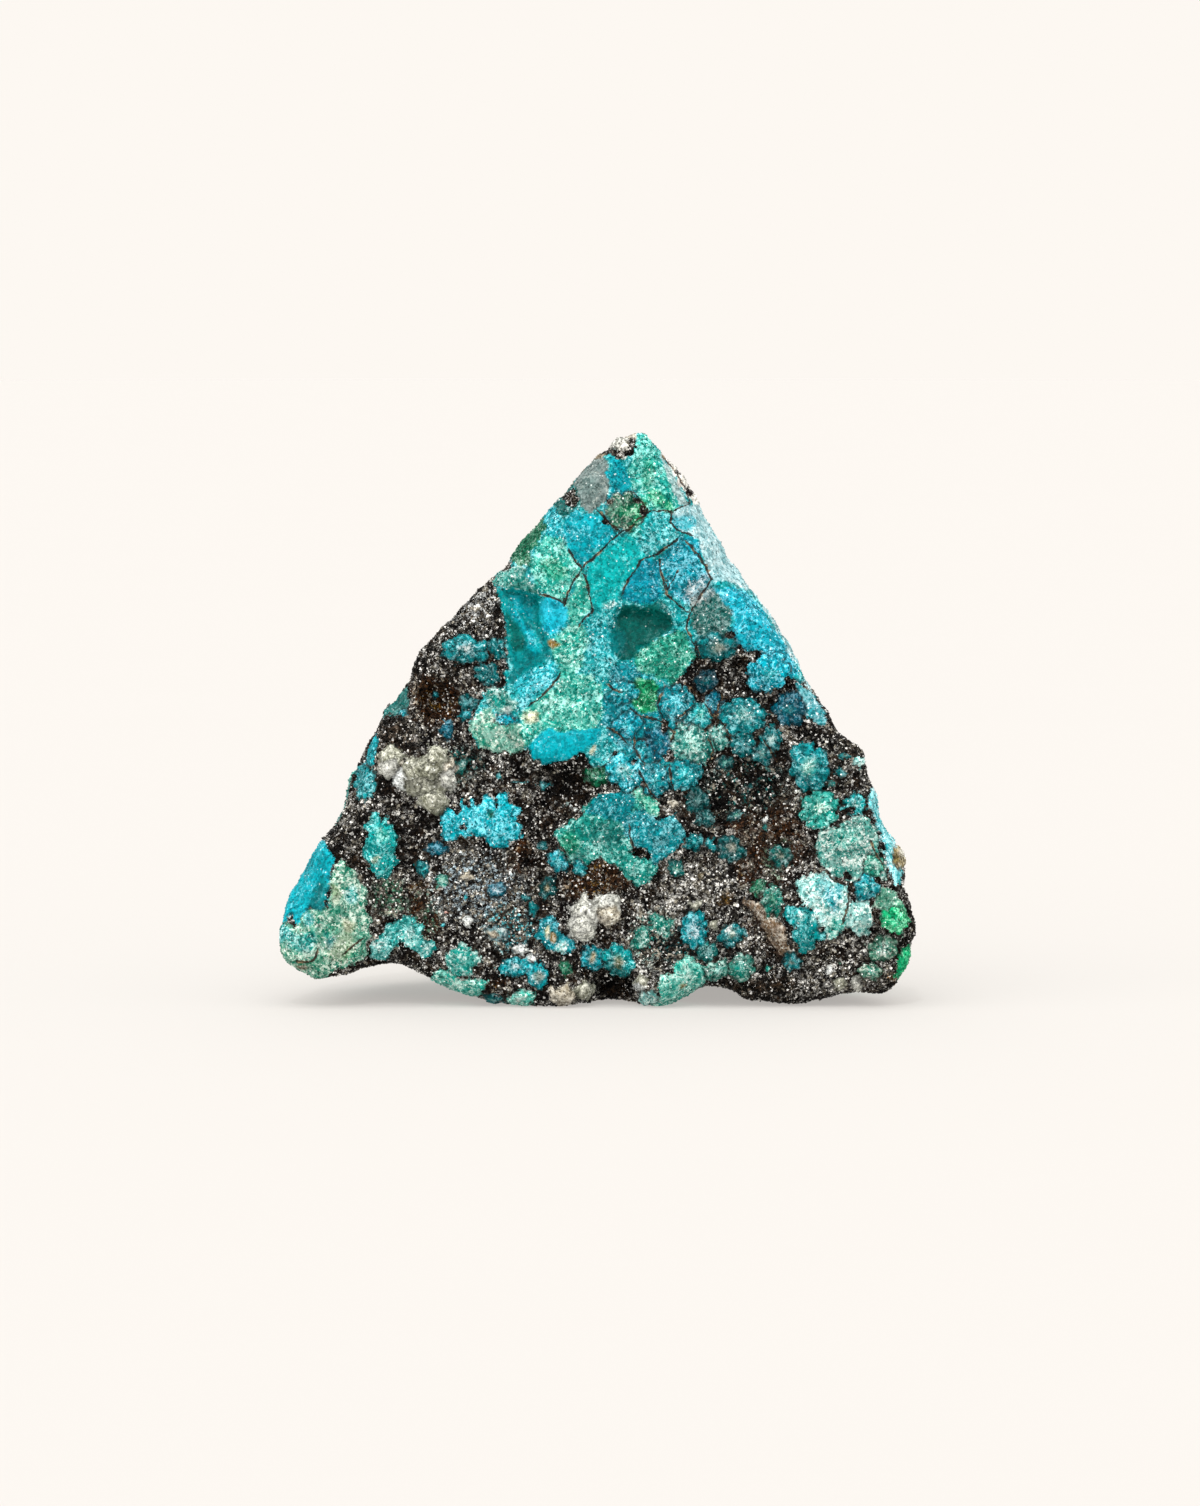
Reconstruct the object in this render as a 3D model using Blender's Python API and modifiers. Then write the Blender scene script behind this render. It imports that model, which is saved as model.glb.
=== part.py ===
"""A triangular chrysocolla specimen, standing on its broken base, as one solid stone.

The broad cleaved face looks towards -Y. Places on it are written as (x, h) in millimetres: x to the
right of the middle and h up the face from its foot, as a viewer sees them who looks down at the stone
by VIEW_TILT. The third direction, depth, runs away from that viewer. The stone starts as a slab with
the outline that this viewer sees. Its front and back are then moved along the depth only, so that the
outline stays as it is, and its walls draw in towards the back.
"""

import math

import bmesh
import bpy
import numpy as np
from mathutils import Matrix, Vector, noise

# Driving dimensions, in millimetres and degrees
MM = 0.001
VIEW_TILT = math.radians(4.6)
SLAB_DEPTH = 31.0
FRONT_FOOT_Y = -15.0
FRONT_LEAN = 0.055
SETTLE = 0.2
RIM_WIDTH = 1.6
RIM_DEPTH = 1.3
BACK_RIM_WIDTH = 2.5
BACK_RIM_DEPTH = 1.2
WALL_CENTRE = (0.0, 20.0)
WALL_DRAW_IN = 0.12
WALL_SKIN = 0.6
WALL_SOFTENING = [(0.1, 6), (0.25, 40)]
FACE_SOFTENING = 3

# How fine the mesh is, and how its grid is turned, so that no edge of the stone lies along it
VOXEL = 0.5
GRID_TURN = math.radians(28)
TRIANGLES = 9500
TRIANGLES_BEFORE_BACK = 50000
MERGE = 1e-6

STONE_COLOUR = (0.03, 0.25, 0.27, 1.0)
STONE_ROUGHNESS = 0.55

# The stone's outline, from the tip down its left side, along the foot and up its right side
OUTLINE = [
    (4.6, 58.1), (2.7, 57.4), (1.3, 56.6), (-0.5, 55.2), (-2.0, 53.6), (-3.7, 51.4), (-5.6, 49.5),
    (-8.0, 46.5), (-9.1, 45.0), (-10.4, 43.5), (-11.7, 42.7), (-12.5, 41.9), (-13.7, 40.6), (-14.4, 39.4),
    (-15.7, 38.2), (-16.6, 37.0), (-17.9, 35.9), (-18.4, 34.6), (-19.2, 32.2), (-20.3, 31.1), (-21.5, 30.1),
    (-22.3, 28.1), (-23.3, 26.7), (-23.9, 25.3), (-24.7, 23.9), (-25.4, 21.2), (-25.9, 19.1), (-27.9, 16.8),
    (-28.9, 15.2), (-29.6, 13.7), (-30.9, 11.8), (-31.6, 9.1), (-31.9, 7.3), (-31.5, 5.2), (-31.0, 4.6),
    (-29.5, 3.7), (-27.9, 2.9), (-24.5, 3.6), (-22.1, 4.5), (-20.8, 4.5), (-19.2, 4.2), (-16.8, 2.9),
    (-14.8, 1.9), (-12.6, 1.1), (-10.8, 0.6), (-7.3, 0.1), (-4.5, 0.0), (-3.1, 0.3), (-2.0, 0.7),
    (3.4, 0.5), (4.2, 0.2), (5.5, 0.1), (7.1, 0.5), (8.4, 1.1), (10.3, 2.2), (11.6, 2.2), (12.9, 2.0),
    (13.8, 1.6), (14.7, 0.7), (19.4, 0.5), (21.9, 0.8), (25.1, 1.5), (26.4, 1.8), (28.6, 1.5), (30.2, 2.4),
    (30.4, 3.4), (31.3, 4.3), (31.6, 5.3), (31.5, 6.7), (32.0, 7.7), (31.5, 9.9), (30.9, 12.5), (31.2, 13.7),
    (30.7, 15.6), (30.1, 16.8), (28.6, 18.7), (28.1, 21.4), (27.3, 23.5), (26.7, 25.6), (25.4, 27.1),
    (24.4, 27.7), (22.7, 30.6), (20.4, 34.0), (19.6, 36.1), (18.3, 38.1), (16.3, 41.3), (14.4, 43.5),
    (12.8, 46.0), (12.4, 47.2), (10.4, 49.9), (10.1, 51.0), (9.3, 52.5), (8.7, 53.5), (6.6, 55.7),
    (5.4, 57.2),
]

# Crusts that stand proud of the dark matrix, and cleaved faces let into them: height, soft edge, corners
PLATES = {
    "upper_crust": (0.8, 0.8, [
        (-10.6, 43.4), (4.5, 60.0), (11.0, 51.0), (16.0, 43.5), (21.0, 34.5), (18.3, 32.2), (15.3, 34.5),
        (13.8, 35.2), (10.3, 34.5), (9.3, 32.0), (10.8, 25.0), (10.3, 22.0), (2.8, 22.0), (0.3, 24.0),
        (-3.2, 24.5), (-6.2, 24.5), (-7.7, 26.5), (-12.7, 26.5), (-12.9, 29.5), (-8.6, 32.0), (-9.4, 37.0),
    ]),
    "cyan_ledge": (0.7, 0.5, [
        (-6.8, 26.8), (-4.8, 28.4), (0.4, 28.0), (-1.4, 26.0), (-2.7, 25.0), (-5.6, 24.3), (-6.7, 25.4),
    ]),
    "face_under_ledge": (-1.5, 0.7, [
        (-6.0, 24.0), (-2.8, 24.4), (-0.6, 23.0), (-1.4, 20.5), (-4.3, 18.8), (-6.2, 20.5),
    ]),
    "middle_crust": (0.8, 0.8, [
        (-4.4, 17.7), (-0.7, 21.0), (2.8, 22.3), (6.3, 21.0), (9.3, 19.5), (10.3, 17.5), (8.3, 15.2),
        (6.5, 14.5), (4.3, 12.0), (1.8, 14.0), (-0.7, 15.0),
    ]),
    "right_crust": (0.9, 0.9, [
        (21.7, 19.4), (28.0, 18.5), (31.0, 13.0), (31.0, 8.0), (27.3, 8.0), (24.8, 8.0), (21.8, 5.5),
        (18.8, 8.0), (18.3, 10.5), (20.0, 13.0), (21.5, 16.0), (20.3, 19.0),
    ]),
    "left_corner": (0.8, 0.8, [
        (-26.7, 17.0), (-22.6, 11.0), (-22.5, 7.2), (-24.5, 3.0), (-28.0, 2.0), (-33.0, 6.0), (-33.0, 9.5),
        (-30.0, 15.0),
    ]),
    "teal_facet": (-1.5, 0.4, [
        (-10.0, 42.0), (-8.6, 42.3), (-5.8, 41.4), (-5.4, 37.8), (-4.7, 35.5), (-6.3, 33.9), (-8.4, 32.3),
        (-8.9, 33.0), (-8.9, 36.2), (-9.8, 40.9),
    ]),
    "green_facet": (-1.3, 0.4, [
        (2.6, 40.4), (5.3, 40.0), (7.8, 39.0), (7.5, 38.0), (5.3, 36.5), (4.3, 36.0), (3.6, 35.0),
        (2.5, 34.8), (1.3, 36.5), (1.3, 38.5),
    ]),
    "left_ledge": (-4.5, 0.5, [
        (-24.0, 33.0), (-18.9, 34.0), (-18.6, 32.0), (-19.4, 29.6), (-22.2, 29.2), (-24.0, 30.0),
    ]),
    "foot_cave": (-5.0, 0.8, [
        (-0.4, 3.6), (1.6, 4.3), (3.3, 3.2), (4.0, -1.0), (-0.9, -1.0),
    ]),
}

# Bevelled faces that turn away from the ridge on which they start: slope, ridge, corners beyond the outline
BEVELS = {
    "right_shoulder": (1.5, [
        (4.6, 58.3), (6.8, 54.0), (7.8, 50.5), (8.5, 49.0), (10.3, 46.5), (11.5, 43.5), (13.3, 42.0),
        (16.3, 39.0), (19.8, 34.5), (21.6, 31.6),
    ], [(25.0, 33.0), (17.0, 47.0), (8.0, 62.0)]),
    "right_flank": (1.6, [
        (27.0, 24.5), (27.2, 21.0), (28.0, 18.0), (29.0, 15.0), (29.8, 12.6), (30.6, 9.5),
    ], [(35.0, 10.0), (34.0, 24.0)]),
    "left_flank": (1.4, [
        (-21.3, 29.6), (-22.0, 27.0), (-22.1, 24.3), (-22.5, 22.0), (-24.1, 19.5), (-25.2, 18.0),
        (-27.0, 16.5),
    ], [(-32.0, 17.0), (-28.0, 31.0)]),
    "left_heel": (0.7, [
        (-27.2, 17.5), (-25.9, 15.0), (-26.6, 12.5), (-27.3, 9.5), (-30.0, 8.3), (-32.5, 8.5),
    ], [(-36.0, 12.0), (-30.0, 20.0)]),
    "tip_left": (0.9, [
        (4.2, 58.5), (1.4, 55.6), (-1.0, 53.3), (-2.6, 50.6), (-5.0, 48.0), (-7.6, 45.2), (-9.6, 43.2),
    ], [(-14.0, 46.0), (-4.0, 58.0), (2.0, 61.0)]),
    "foot_front": (0.8, [
        (-23.5, 5.8), (-20.0, 5.9), (-15.0, 3.4), (-8.0, 1.6), (0.0, 1.8), (7.0, 1.9), (10.5, 3.6),
        (14.0, 3.2), (19.0, 2.0), (26.0, 3.2), (30.0, 4.2),
    ], [(34.0, -3.0), (-24.0, -3.0)]),
}

# Rounded lumps and pits: x, h, half width, half height, turn in degrees, height
LUMPS = [
    # broad swells and valleys of the face
    (-15.0, 35.0, 4.5, 4.5, 20, 1.1), (-18.5, 24.5, 5.0, 4.5, 0, 0.7), (16.0, 19.0, 7.0, 8.0, 30, -1.5),
    (-12.5, 10.5, 6.5, 4.5, -15, 0.9), (-3.5, 13.5, 3.2, 2.6, 0, -0.8), (-24.0, 20.0, 3.5, 3.5, 0, 0.5),
    (22.0, 11.0, 7.0, 6.0, 0, 1.0), (6.0, 3.2, 3.0, 2.8, 20, 1.1), (24.5, 27.0, 3.0, 2.5, -50, 0.5),
    (0.0, 46.0, 6.0, 8.0, -30, 0.4), (14.5, 38.0, 4.0, 4.0, 0, 0.5), (-20.0, 11.5, 3.0, 5.0, 0, -0.7),
    # quartz
    (-20.7, 24.8, 1.4, 1.6, 0, 1.2), (-18.0, 23.9, 1.8, 1.6, 0, 1.3), (-15.9, 25.1, 1.8, 1.6, 0, 1.4),
    (-14.8, 23.2, 1.5, 1.5, 0, 1.1), (-16.5, 20.9, 1.5, 1.6, 0, 1.2), (-1.3, 9.0, 1.8, 2.3, -10, 1.4),
    (1.3, 10.1, 1.7, 1.6, 20, 1.3), (2.6, 56.3, 1.4, 1.3, 0, 0.7), (-0.6, 52.3, 2.1, 3.0, -25, 0.6),
    (-3.5, 1.4, 1.5, 1.3, 0, 0.6), (-1.2, 1.9, 1.0, 1.0, 0, 0.4),
    # botryoidal chrysocolla
    (-11.6, 18.8, 4.2, 2.8, -10, 0.9), (-21.6, 16.4, 2.0, 3.2, 0, 0.7), (-13.2, 36.0, 2.1, 1.4, 0, 0.5),
    (14.5, 29.4, 2.3, 1.8, 0, 0.6), (17.1, 33.9, 2.2, 2.1, 0, 0.7), (21.2, 24.3, 2.0, 2.2, 0, 0.8),
    (22.2, 20.1, 2.0, 1.8, 0, 0.6), (7.5, 30.2, 1.8, 1.7, 0, 0.5), (9.4, 27.4, 2.3, 2.2, 0, 0.5),
    (8.7, 23.6, 1.8, 1.6, 0, 0.5), (10.9, 32.9, 1.2, 1.2, 0, 0.4), (20.6, 8.2, 2.1, 2.6, 0, 0.7),
    (22.5, 10.8, 2.7, 3.1, 0, 0.6), (26.8, 12.2, 1.4, 1.4, 0, 0.5), (26.2, 9.7, 1.6, 1.5, 0, 0.5),
    (9.6, 8.2, 1.5, 1.7, 0, 0.6), (13.4, 7.4, 1.3, 1.2, 0, 0.5), (-13.3, 4.9, 2.0, 1.8, 0, 0.6),
    (-4.9, 8.4, 1.4, 1.4, 0, 0.5), (-3.3, 6.6, 1.3, 1.1, 0, 0.5), (-5.9, 3.3, 1.1, 1.4, 0, 0.5),
    (4.5, 17.5, 2.0, 1.8, 0, 0.5), (7.4, 18.2, 1.7, 1.7, 0, 0.5), (29.6, 9.0, 1.6, 1.6, 0, 0.8),
    (28.5, 6.2, 1.7, 1.2, 0, 0.7), (27.2, 3.9, 1.4, 1.1, 0, 0.7), (-19.2, 7.4, 2.0, 1.4, 20, 0.6),
    (12.0, 3.9, 1.3, 1.1, 0, 0.5), (14.4, 4.4, 1.5, 1.3, 0, 0.5), (0.8, 44.3, 2.2, 3.0, -25, 0.5),
    (-4.2, 43.8, 2.8, 3.2, 0, 0.5), (5.7, 47.8, 2.4, 2.2, 0, 0.5), (-0.8, 47.6, 2.5, 2.6, 0, 0.5),
    # hollows
    (-16.2, 31.0, 2.0, 1.9, 30, -2.6), (-6.8, 14.7, 0.9, 1.3, 0, -1.3), (4.2, 15.7, 0.9, 0.8, 0, -0.9),
    (11.2, 14.6, 2.0, 1.6, 0, -0.6), (-24.5, 26.8, 1.0, 1.8, 0, -0.6),
]

# Gouges, cracks and ribs along lines: height, half width, points
STROKES = [
    (-1.4, 0.8, [(15.1, 35.7), (13.6, 33.4), (12.7, 31.2)]),
    (-1.1, 0.7, [(18.3, 31.9), (17.4, 30.2), (17.1, 28.9)]),
    (-1.0, 0.7, [(14.6, 10.8), (16.8, 7.8), (19.0, 5.0)]),
    (0.8, 0.8, [(16.0, 10.4), (18.2, 7.6), (20.0, 5.6)]),
    (0.8, 0.8, [(-9.1, 41.0), (-7.3, 38.2), (-5.5, 35.5)]),
    (-0.8, 0.9, [(-9.0, 27.6), (-7.4, 26.0), (-7.6, 23.0)]),
    (-0.9, 0.9, [(-7.0, 24.0), (-10.0, 23.2), (-13.0, 22.5)]),
    (-0.7, 0.7, [(12.4, 25.0), (16.0, 24.0), (18.5, 21.0)]),
    (-0.8, 0.8, [(19.5, 17.5), (18.2, 14.5), (16.5, 12.5)]),
    (-0.6, 0.6, [(-24.6, 14.2), (-23.0, 12.0), (-22.5, 8.0), (-22.9, 5.2)]),
]

# The back is what these planes leave: depth at the origin, change with x, change with h
BACK_PLANES = [
    (30.5, 0.10, -0.12),
    (34.5, 0.50, -0.10),
    (38.5, -0.55, -0.18),
    (47.5, 0.16, -0.60),
    (36.0, -0.10, -0.30),
    (50.0, 1.10, -0.05),
    (50.0, -1.10, -0.10),
]

# Lumps and bites of the hidden sides, back and base: place in the stone's own frame, radius, height
FAR_LUMPS = [
    (-20.0, 4.0, 20.0, 8.0, -1.8), (-9.0, 10.0, 33.0, 8.0, -1.6), (8.0, 15.0, 14.0, 8.0, 1.2),
    (20.0, 6.0, 26.0, 8.0, -1.8), (-16.0, 12.0, 8.0, 6.0, 1.3), (4.0, 9.0, 42.0, 6.0, 0.9),
    (24.0, 5.0, 8.0, 6.0, 1.2), (-26.0, -2.0, 8.0, 5.0, 1.0),
    (-18.0, -2.0, 3.5, 6.0, -1.4), (12.0, 3.0, 40.0, 6.0, -1.4), (0.0, 14.0, 24.0, 6.0, -1.6),
    (-9.0, 8.0, 0.0, 6.5, 1.0), (13.0, 8.0, 0.0, 6.5, 1.0), (2.0, -4.0, 0.0, 4.5, -1.1),
    (-13.0, 1.0, 34.0, 5.0, -1.4), (24.0, -2.0, 28.0, 4.5, -1.2), (5.0, 14.0, 4.0, 5.0, -1.6),
    (12.0, -6.0, 1.0, 4.0, -0.8), (-14.0, 5.0, 1.5, 5.0, -1.2), (22.0, -5.0, 1.0, 4.0, -1.0),
]


def smooth_step(low, high, value):
    t = np.clip((value - low) / (high - low), 0.0, 1.0)
    return t * t * (3.0 - 2.0 * t)


def line_distance(x, h, points, closed=False):
    """How far each (x, h) is from the line through the points."""
    ends = points[1:] + points[:1] if closed else points[1:]
    best = np.full(x.shape, np.inf)
    for (ax, ah), (bx, bh) in zip(points, ends):
        run_x, run_h = bx - ax, bh - ah
        along = ((x - ax) * run_x + (h - ah) * run_h) / (run_x**2 + run_h**2)
        along = np.clip(along, 0.0, 1.0)
        best = np.minimum(best, np.hypot(x - ax - along * run_x, h - ah - along * run_h))
    return best


def inside(x, h, points):
    """Whether each (x, h) is inside the closed outline, by counting the sides to its right."""
    crossings = np.zeros(x.shape, int)
    for (ax, ah), (bx, bh) in zip(points, points[1:] + points[:1]):
        spans = (ah > h) != (bh > h)
        rise = bh - ah if bh != ah else 1.0
        crossings += spans & (x < ax + (h - ah) * (bx - ax) / rise)
    return crossings % 2 == 1


def plate(x, h, height, edge, corners):
    depth_in = np.where(inside(x, h, corners), 1.0, -1.0) * line_distance(x, h, corners, True)
    return height * smooth_step(-edge, edge, depth_in)


def bevel(x, h, slope, ridge, beyond):
    turned = inside(x, h, ridge + beyond)
    return np.where(turned, -slope * line_distance(x, h, ridge), 0.0)


def lump(x, h, centre_x, centre_h, half_width, half_height, turn, height):
    cos, sin = math.cos(math.radians(turn)), math.sin(math.radians(turn))
    across = ((x - centre_x) * cos + (h - centre_h) * sin) / half_width
    up = ((h - centre_h) * cos - (x - centre_x) * sin) / half_height
    return height * np.clip(1.0 - across**2 - up**2, 0.0, 1.0) ** 0.8


def stroke(x, h, height, half_width, points):
    return height * (1.0 - smooth_step(0.2 * half_width, half_width, line_distance(x, h, points)))


def front_relief(x, h):
    """How far the face stands out towards the viewer, in millimetres."""
    relief = np.zeros(x.shape)
    for height, edge, corners in PLATES.values():
        relief += plate(x, h, height, edge, corners)
    for slope, ridge, beyond in BEVELS.values():
        relief += bevel(x, h, slope, ridge, beyond)
    for values in LUMPS:
        relief += lump(x, h, *values)
    for height, half_width, points in STROKES:
        relief += stroke(x, h, height, half_width, points)
    return relief


def front_depth(x, h, rim):
    """Depth of the front face. The rim is how far a point is from the outline."""
    rounding = RIM_DEPTH * (1.0 - np.clip(rim / RIM_WIDTH, 0.0, 1.0)) ** 2
    return FRONT_LEAN * h - front_relief(x, h) + rounding


def back_depth(x, h, rim):
    planes = [depth + by_x * x + by_h * h for depth, by_x, by_h in BACK_PLANES]
    rounding = BACK_RIM_DEPTH * (1.0 - np.clip(rim / BACK_RIM_WIDTH, 0.0, 1.0)) ** 2
    return np.min(planes, axis=0) - rounding


def new_object(name, data):
    obj = bpy.data.objects.new(name, data)
    bpy.context.scene.collection.objects.link(obj)
    return obj


def evaluated_mesh(obj):
    """A mesh of the object as its modifiers leave it. The object itself is removed."""
    graph = bpy.context.evaluated_depsgraph_get()
    mesh = bpy.data.meshes.new_from_object(obj.evaluated_get(graph))
    bpy.data.objects.remove(obj)
    return mesh


def make_slab():
    """The outline, as thick as the stone is deep, with its cap edges joined."""
    curve = bpy.data.curves.new("outline", "CURVE")
    curve.dimensions = "2D"
    curve.fill_mode = "BOTH"
    curve.extrude = SLAB_DEPTH / 2 * MM
    spline = curve.splines.new("POLY")
    spline.points.add(len(OUTLINE) - 1)
    spline.use_cyclic_u = True
    for point, (x, h) in zip(spline.points, OUTLINE):
        point.co = (x * MM, h * MM, 0.0, 1.0)
    mesh = evaluated_mesh(new_object("outline", curve))
    body = bmesh.new()
    body.from_mesh(mesh)
    bmesh.ops.remove_doubles(body, verts=body.verts, dist=MERGE)
    bmesh.ops.recalc_face_normals(body, faces=body.faces)
    body.to_mesh(mesh)
    body.free()
    return mesh


def even_mesh(mesh):
    """The same body in small even faces, so that it can be carved."""
    turn = Matrix.Rotation(GRID_TURN, 4, "Z")
    mesh.transform(turn)
    obj = new_object("slab", mesh)
    remesh = obj.modifiers.new("even", "REMESH")
    remesh.mode = "VOXEL"
    remesh.voxel_size = VOXEL * MM
    even = evaluated_mesh(obj)
    even.transform(turn.inverted())
    return even


def points_of(mesh):
    points = np.empty(len(mesh.vertices) * 3)
    mesh.vertices.foreach_get("co", points)
    return points.reshape(-1, 3) / MM


def set_points(mesh, points):
    mesh.vertices.foreach_set("co", (points * MM).ravel())
    mesh.update()


def carve(mesh):
    """Moves the slab's points to the stone's shape, and stands it up."""
    x, h, out = points_of(mesh).T
    share = np.clip(0.5 - out / SLAB_DEPTH, 0.0, 1.0)
    rim = line_distance(x, h, OUTLINE, True)
    front = front_depth(x, h, rim)
    depth = front + share * (back_depth(x, h, rim) - front)
    draw_in = 1.0 - WALL_DRAW_IN * share
    centre_x, centre_h = WALL_CENTRE
    x = centre_x + (x - centre_x) * draw_in
    h = centre_h + (h - centre_h) * draw_in
    cos, sin = math.cos(VIEW_TILT), math.sin(VIEW_TILT)
    y = FRONT_FOOT_Y + h * sin + depth * cos
    z = h * cos - depth * sin
    set_points(mesh, np.stack([x, y, z - SETTLE], axis=1))
    return share, rim < WALL_SKIN


def soften(mesh, share, on_wall):
    """Evens out the walls behind the front edge, where the outline's small steps would run on as ribs."""
    body = bmesh.new()
    body.from_mesh(mesh)
    body.verts.ensure_lookup_table()
    stages = [(body.verts[:], FACE_SOFTENING)]
    for least, rounds in WALL_SOFTENING:
        stages.append(([body.verts[i] for i in np.flatnonzero(on_wall & (share > least))], rounds))
    for verts, rounds in stages:
        for _ in range(rounds):
            bmesh.ops.smooth_vert(
                body, verts=verts, factor=0.5, use_axis_x=True, use_axis_y=True, use_axis_z=True
            )
    body.to_mesh(mesh)
    body.free()


def roughness_at(place, normal, behind):
    """How far the surface stands out at a place, in millimetres, for its natural unevenness."""
    swell = noise.fractal(place / 7.0, 0.9, 2.1, 3)
    cells = noise.voronoi(place / 4.0)[0]
    knobs = 0.45 - cells[0]
    grain = noise.noise(place / 1.7)
    facing = max(0.0, -normal.y)
    calm = 0.35 + 0.65 * behind
    return calm * (0.7 * swell + 0.6 * knobs) * (1.0 - 0.55 * facing) + 0.16 * grain


def far_relief(points):
    relief = np.zeros(len(points))
    for x, y, z, radius, height in FAR_LUMPS:
        reach = np.linalg.norm(points - (x, y, z), axis=1) / radius
        relief += height * np.clip(1.0 - reach**2, 0.0, 1.0)
    return relief


def roughen(mesh, share):
    points = points_of(mesh)
    normals = [vert.normal.copy() for vert in mesh.vertices]
    behind = smooth_step(0.2, 0.45, share)
    far = behind * far_relief(points)
    moved = []
    for point, normal, weight, lift in zip(points, normals, behind, far):
        height = roughness_at(Vector(point), normal, weight) + lift
        moved.append(point + np.array(normal) * height)
    set_points(mesh, np.array(moved))


def thin_out(mesh, triangles, share=None):
    """Cuts the triangle count. Given the points' share of the depth, only what is behind the front thins out."""
    obj = new_object("dense", mesh)
    mesh.calc_loop_triangles()
    decimate = obj.modifiers.new("fewer", "DECIMATE")
    decimate.ratio = triangles / len(mesh.loop_triangles)
    decimate.use_collapse_triangulate = True
    if share is not None:
        group = obj.vertex_groups.new(name="behind")
        for index, weight in enumerate(smooth_step(0.02, 0.3, share)):
            group.add([index], float(weight), "REPLACE")
        decimate.vertex_group = group.name
    return evaluated_mesh(obj)


def drop_crumbs(body):
    """Keeps the largest body only. A level cut can leave a knob's foot behind as a crumb."""
    unseen = set(body.verts)
    largest = set()
    while unseen:
        found = {unseen.pop()}
        edge_of_search = list(found)
        while edge_of_search:
            vert = edge_of_search.pop()
            near = {edge.other_vert(vert) for edge in vert.link_edges} & unseen
            unseen -= near
            found |= near
            edge_of_search += near
        largest = max(largest, found, key=len)
    crumbs = [vert for vert in body.verts if vert not in largest]
    bmesh.ops.delete(body, geom=crumbs, context="VERTS")


def stand_flat(mesh):
    """Cuts the foot off level where it meets the ground, and centres the stone over the origin."""
    body = bmesh.new()
    body.from_mesh(mesh)
    everything = body.verts[:] + body.edges[:] + body.faces[:]
    cut = bmesh.ops.bisect_plane(
        body, geom=everything, dist=MERGE, plane_co=(0, 0, 0), plane_no=(0, 0, -1), clear_outer=True
    )
    rims = [item for item in cut["geom_cut"] if isinstance(item, bmesh.types.BMEdge)]
    bmesh.ops.holes_fill(body, edges=rims)
    bmesh.ops.triangulate(body, faces=[face for face in body.faces if len(face.verts) > 3])
    bmesh.ops.dissolve_degenerate(body, edges=body.edges, dist=MERGE)
    drop_crumbs(body)
    bmesh.ops.recalc_face_normals(body, faces=body.faces)
    xs = [vert.co.x for vert in body.verts]
    ys = [vert.co.y for vert in body.verts]
    middle = Vector(((min(xs) + max(xs)) / 2, (min(ys) + max(ys)) / 2, 0.0))
    body.transform(Matrix.Translation(-middle))
    body.to_mesh(mesh)
    body.free()


def stone_material():
    material = bpy.data.materials.new("chrysocolla")
    material.use_nodes = True
    shader = material.node_tree.nodes["Principled BSDF"]
    shader.inputs["Base Color"].default_value = STONE_COLOUR
    shader.inputs["Roughness"].default_value = STONE_ROUGHNESS
    shader.inputs["Metallic"].default_value = 0.0
    return material


def main():
    for obj in list(bpy.data.objects):
        bpy.data.objects.remove(obj)
    collection = bpy.data.collections.new("chrysocolla_specimen")
    bpy.context.scene.collection.children.link(collection)
    mesh = even_mesh(make_slab())
    share, on_wall = carve(mesh)
    soften(mesh, share, on_wall)
    roughen(mesh, share)
    mesh = thin_out(mesh, TRIANGLES_BEFORE_BACK, share)
    mesh = thin_out(mesh, TRIANGLES)
    stand_flat(mesh)
    mesh.name = "stone"
    mesh.materials.clear()
    mesh.materials.append(stone_material())
    collection.objects.link(bpy.data.objects.new("stone", mesh))


main()
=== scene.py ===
"""The looks of a triangular chrysocolla specimen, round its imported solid.

Places on the stone's face are written as (x, h) in millimetres, as in a picture of the face: x to the
right of the middle and h up from its foot, seen by a viewer who looks down at it by VIEW_TILT.
"""

import math

import bmesh
import bpy
import numpy as np
from mathutils import Matrix, Vector, noise


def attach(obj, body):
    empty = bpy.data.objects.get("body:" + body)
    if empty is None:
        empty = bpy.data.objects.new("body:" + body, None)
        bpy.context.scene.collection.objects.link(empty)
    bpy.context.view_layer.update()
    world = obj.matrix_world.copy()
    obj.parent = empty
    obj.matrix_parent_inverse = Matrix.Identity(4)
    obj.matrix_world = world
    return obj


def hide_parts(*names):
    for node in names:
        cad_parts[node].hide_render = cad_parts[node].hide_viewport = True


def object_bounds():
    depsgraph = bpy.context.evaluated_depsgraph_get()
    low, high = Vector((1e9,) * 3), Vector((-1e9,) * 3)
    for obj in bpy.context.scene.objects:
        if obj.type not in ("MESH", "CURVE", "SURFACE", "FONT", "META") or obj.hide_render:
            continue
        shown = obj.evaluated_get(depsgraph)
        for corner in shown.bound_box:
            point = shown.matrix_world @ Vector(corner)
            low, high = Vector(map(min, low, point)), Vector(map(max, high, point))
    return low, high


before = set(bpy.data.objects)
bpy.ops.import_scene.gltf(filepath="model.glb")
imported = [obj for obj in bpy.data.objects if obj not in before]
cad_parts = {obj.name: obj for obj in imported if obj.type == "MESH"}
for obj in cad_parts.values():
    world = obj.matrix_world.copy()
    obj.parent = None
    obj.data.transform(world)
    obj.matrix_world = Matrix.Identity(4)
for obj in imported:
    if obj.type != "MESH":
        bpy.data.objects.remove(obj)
cad_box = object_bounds()

# Units, the viewer's tilt and where the face stands in the frame, in millimetres and degrees
MM = 0.001
VIEW_TILT = math.radians(4.6)
FACE_SHIFT_X = -0.08
FOOT_BEHIND_FRONT = 1.38
SETTLE = 0.2

# How the skin's mesh is made
SKIN_VOXEL = 0.19
GRID_TURN = math.radians(28)
SKIN_TRIANGLES = 190000
FRONT_COST = 0.00003
SKIN_SMOOTHING = 2
REACH = 1.5

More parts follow.
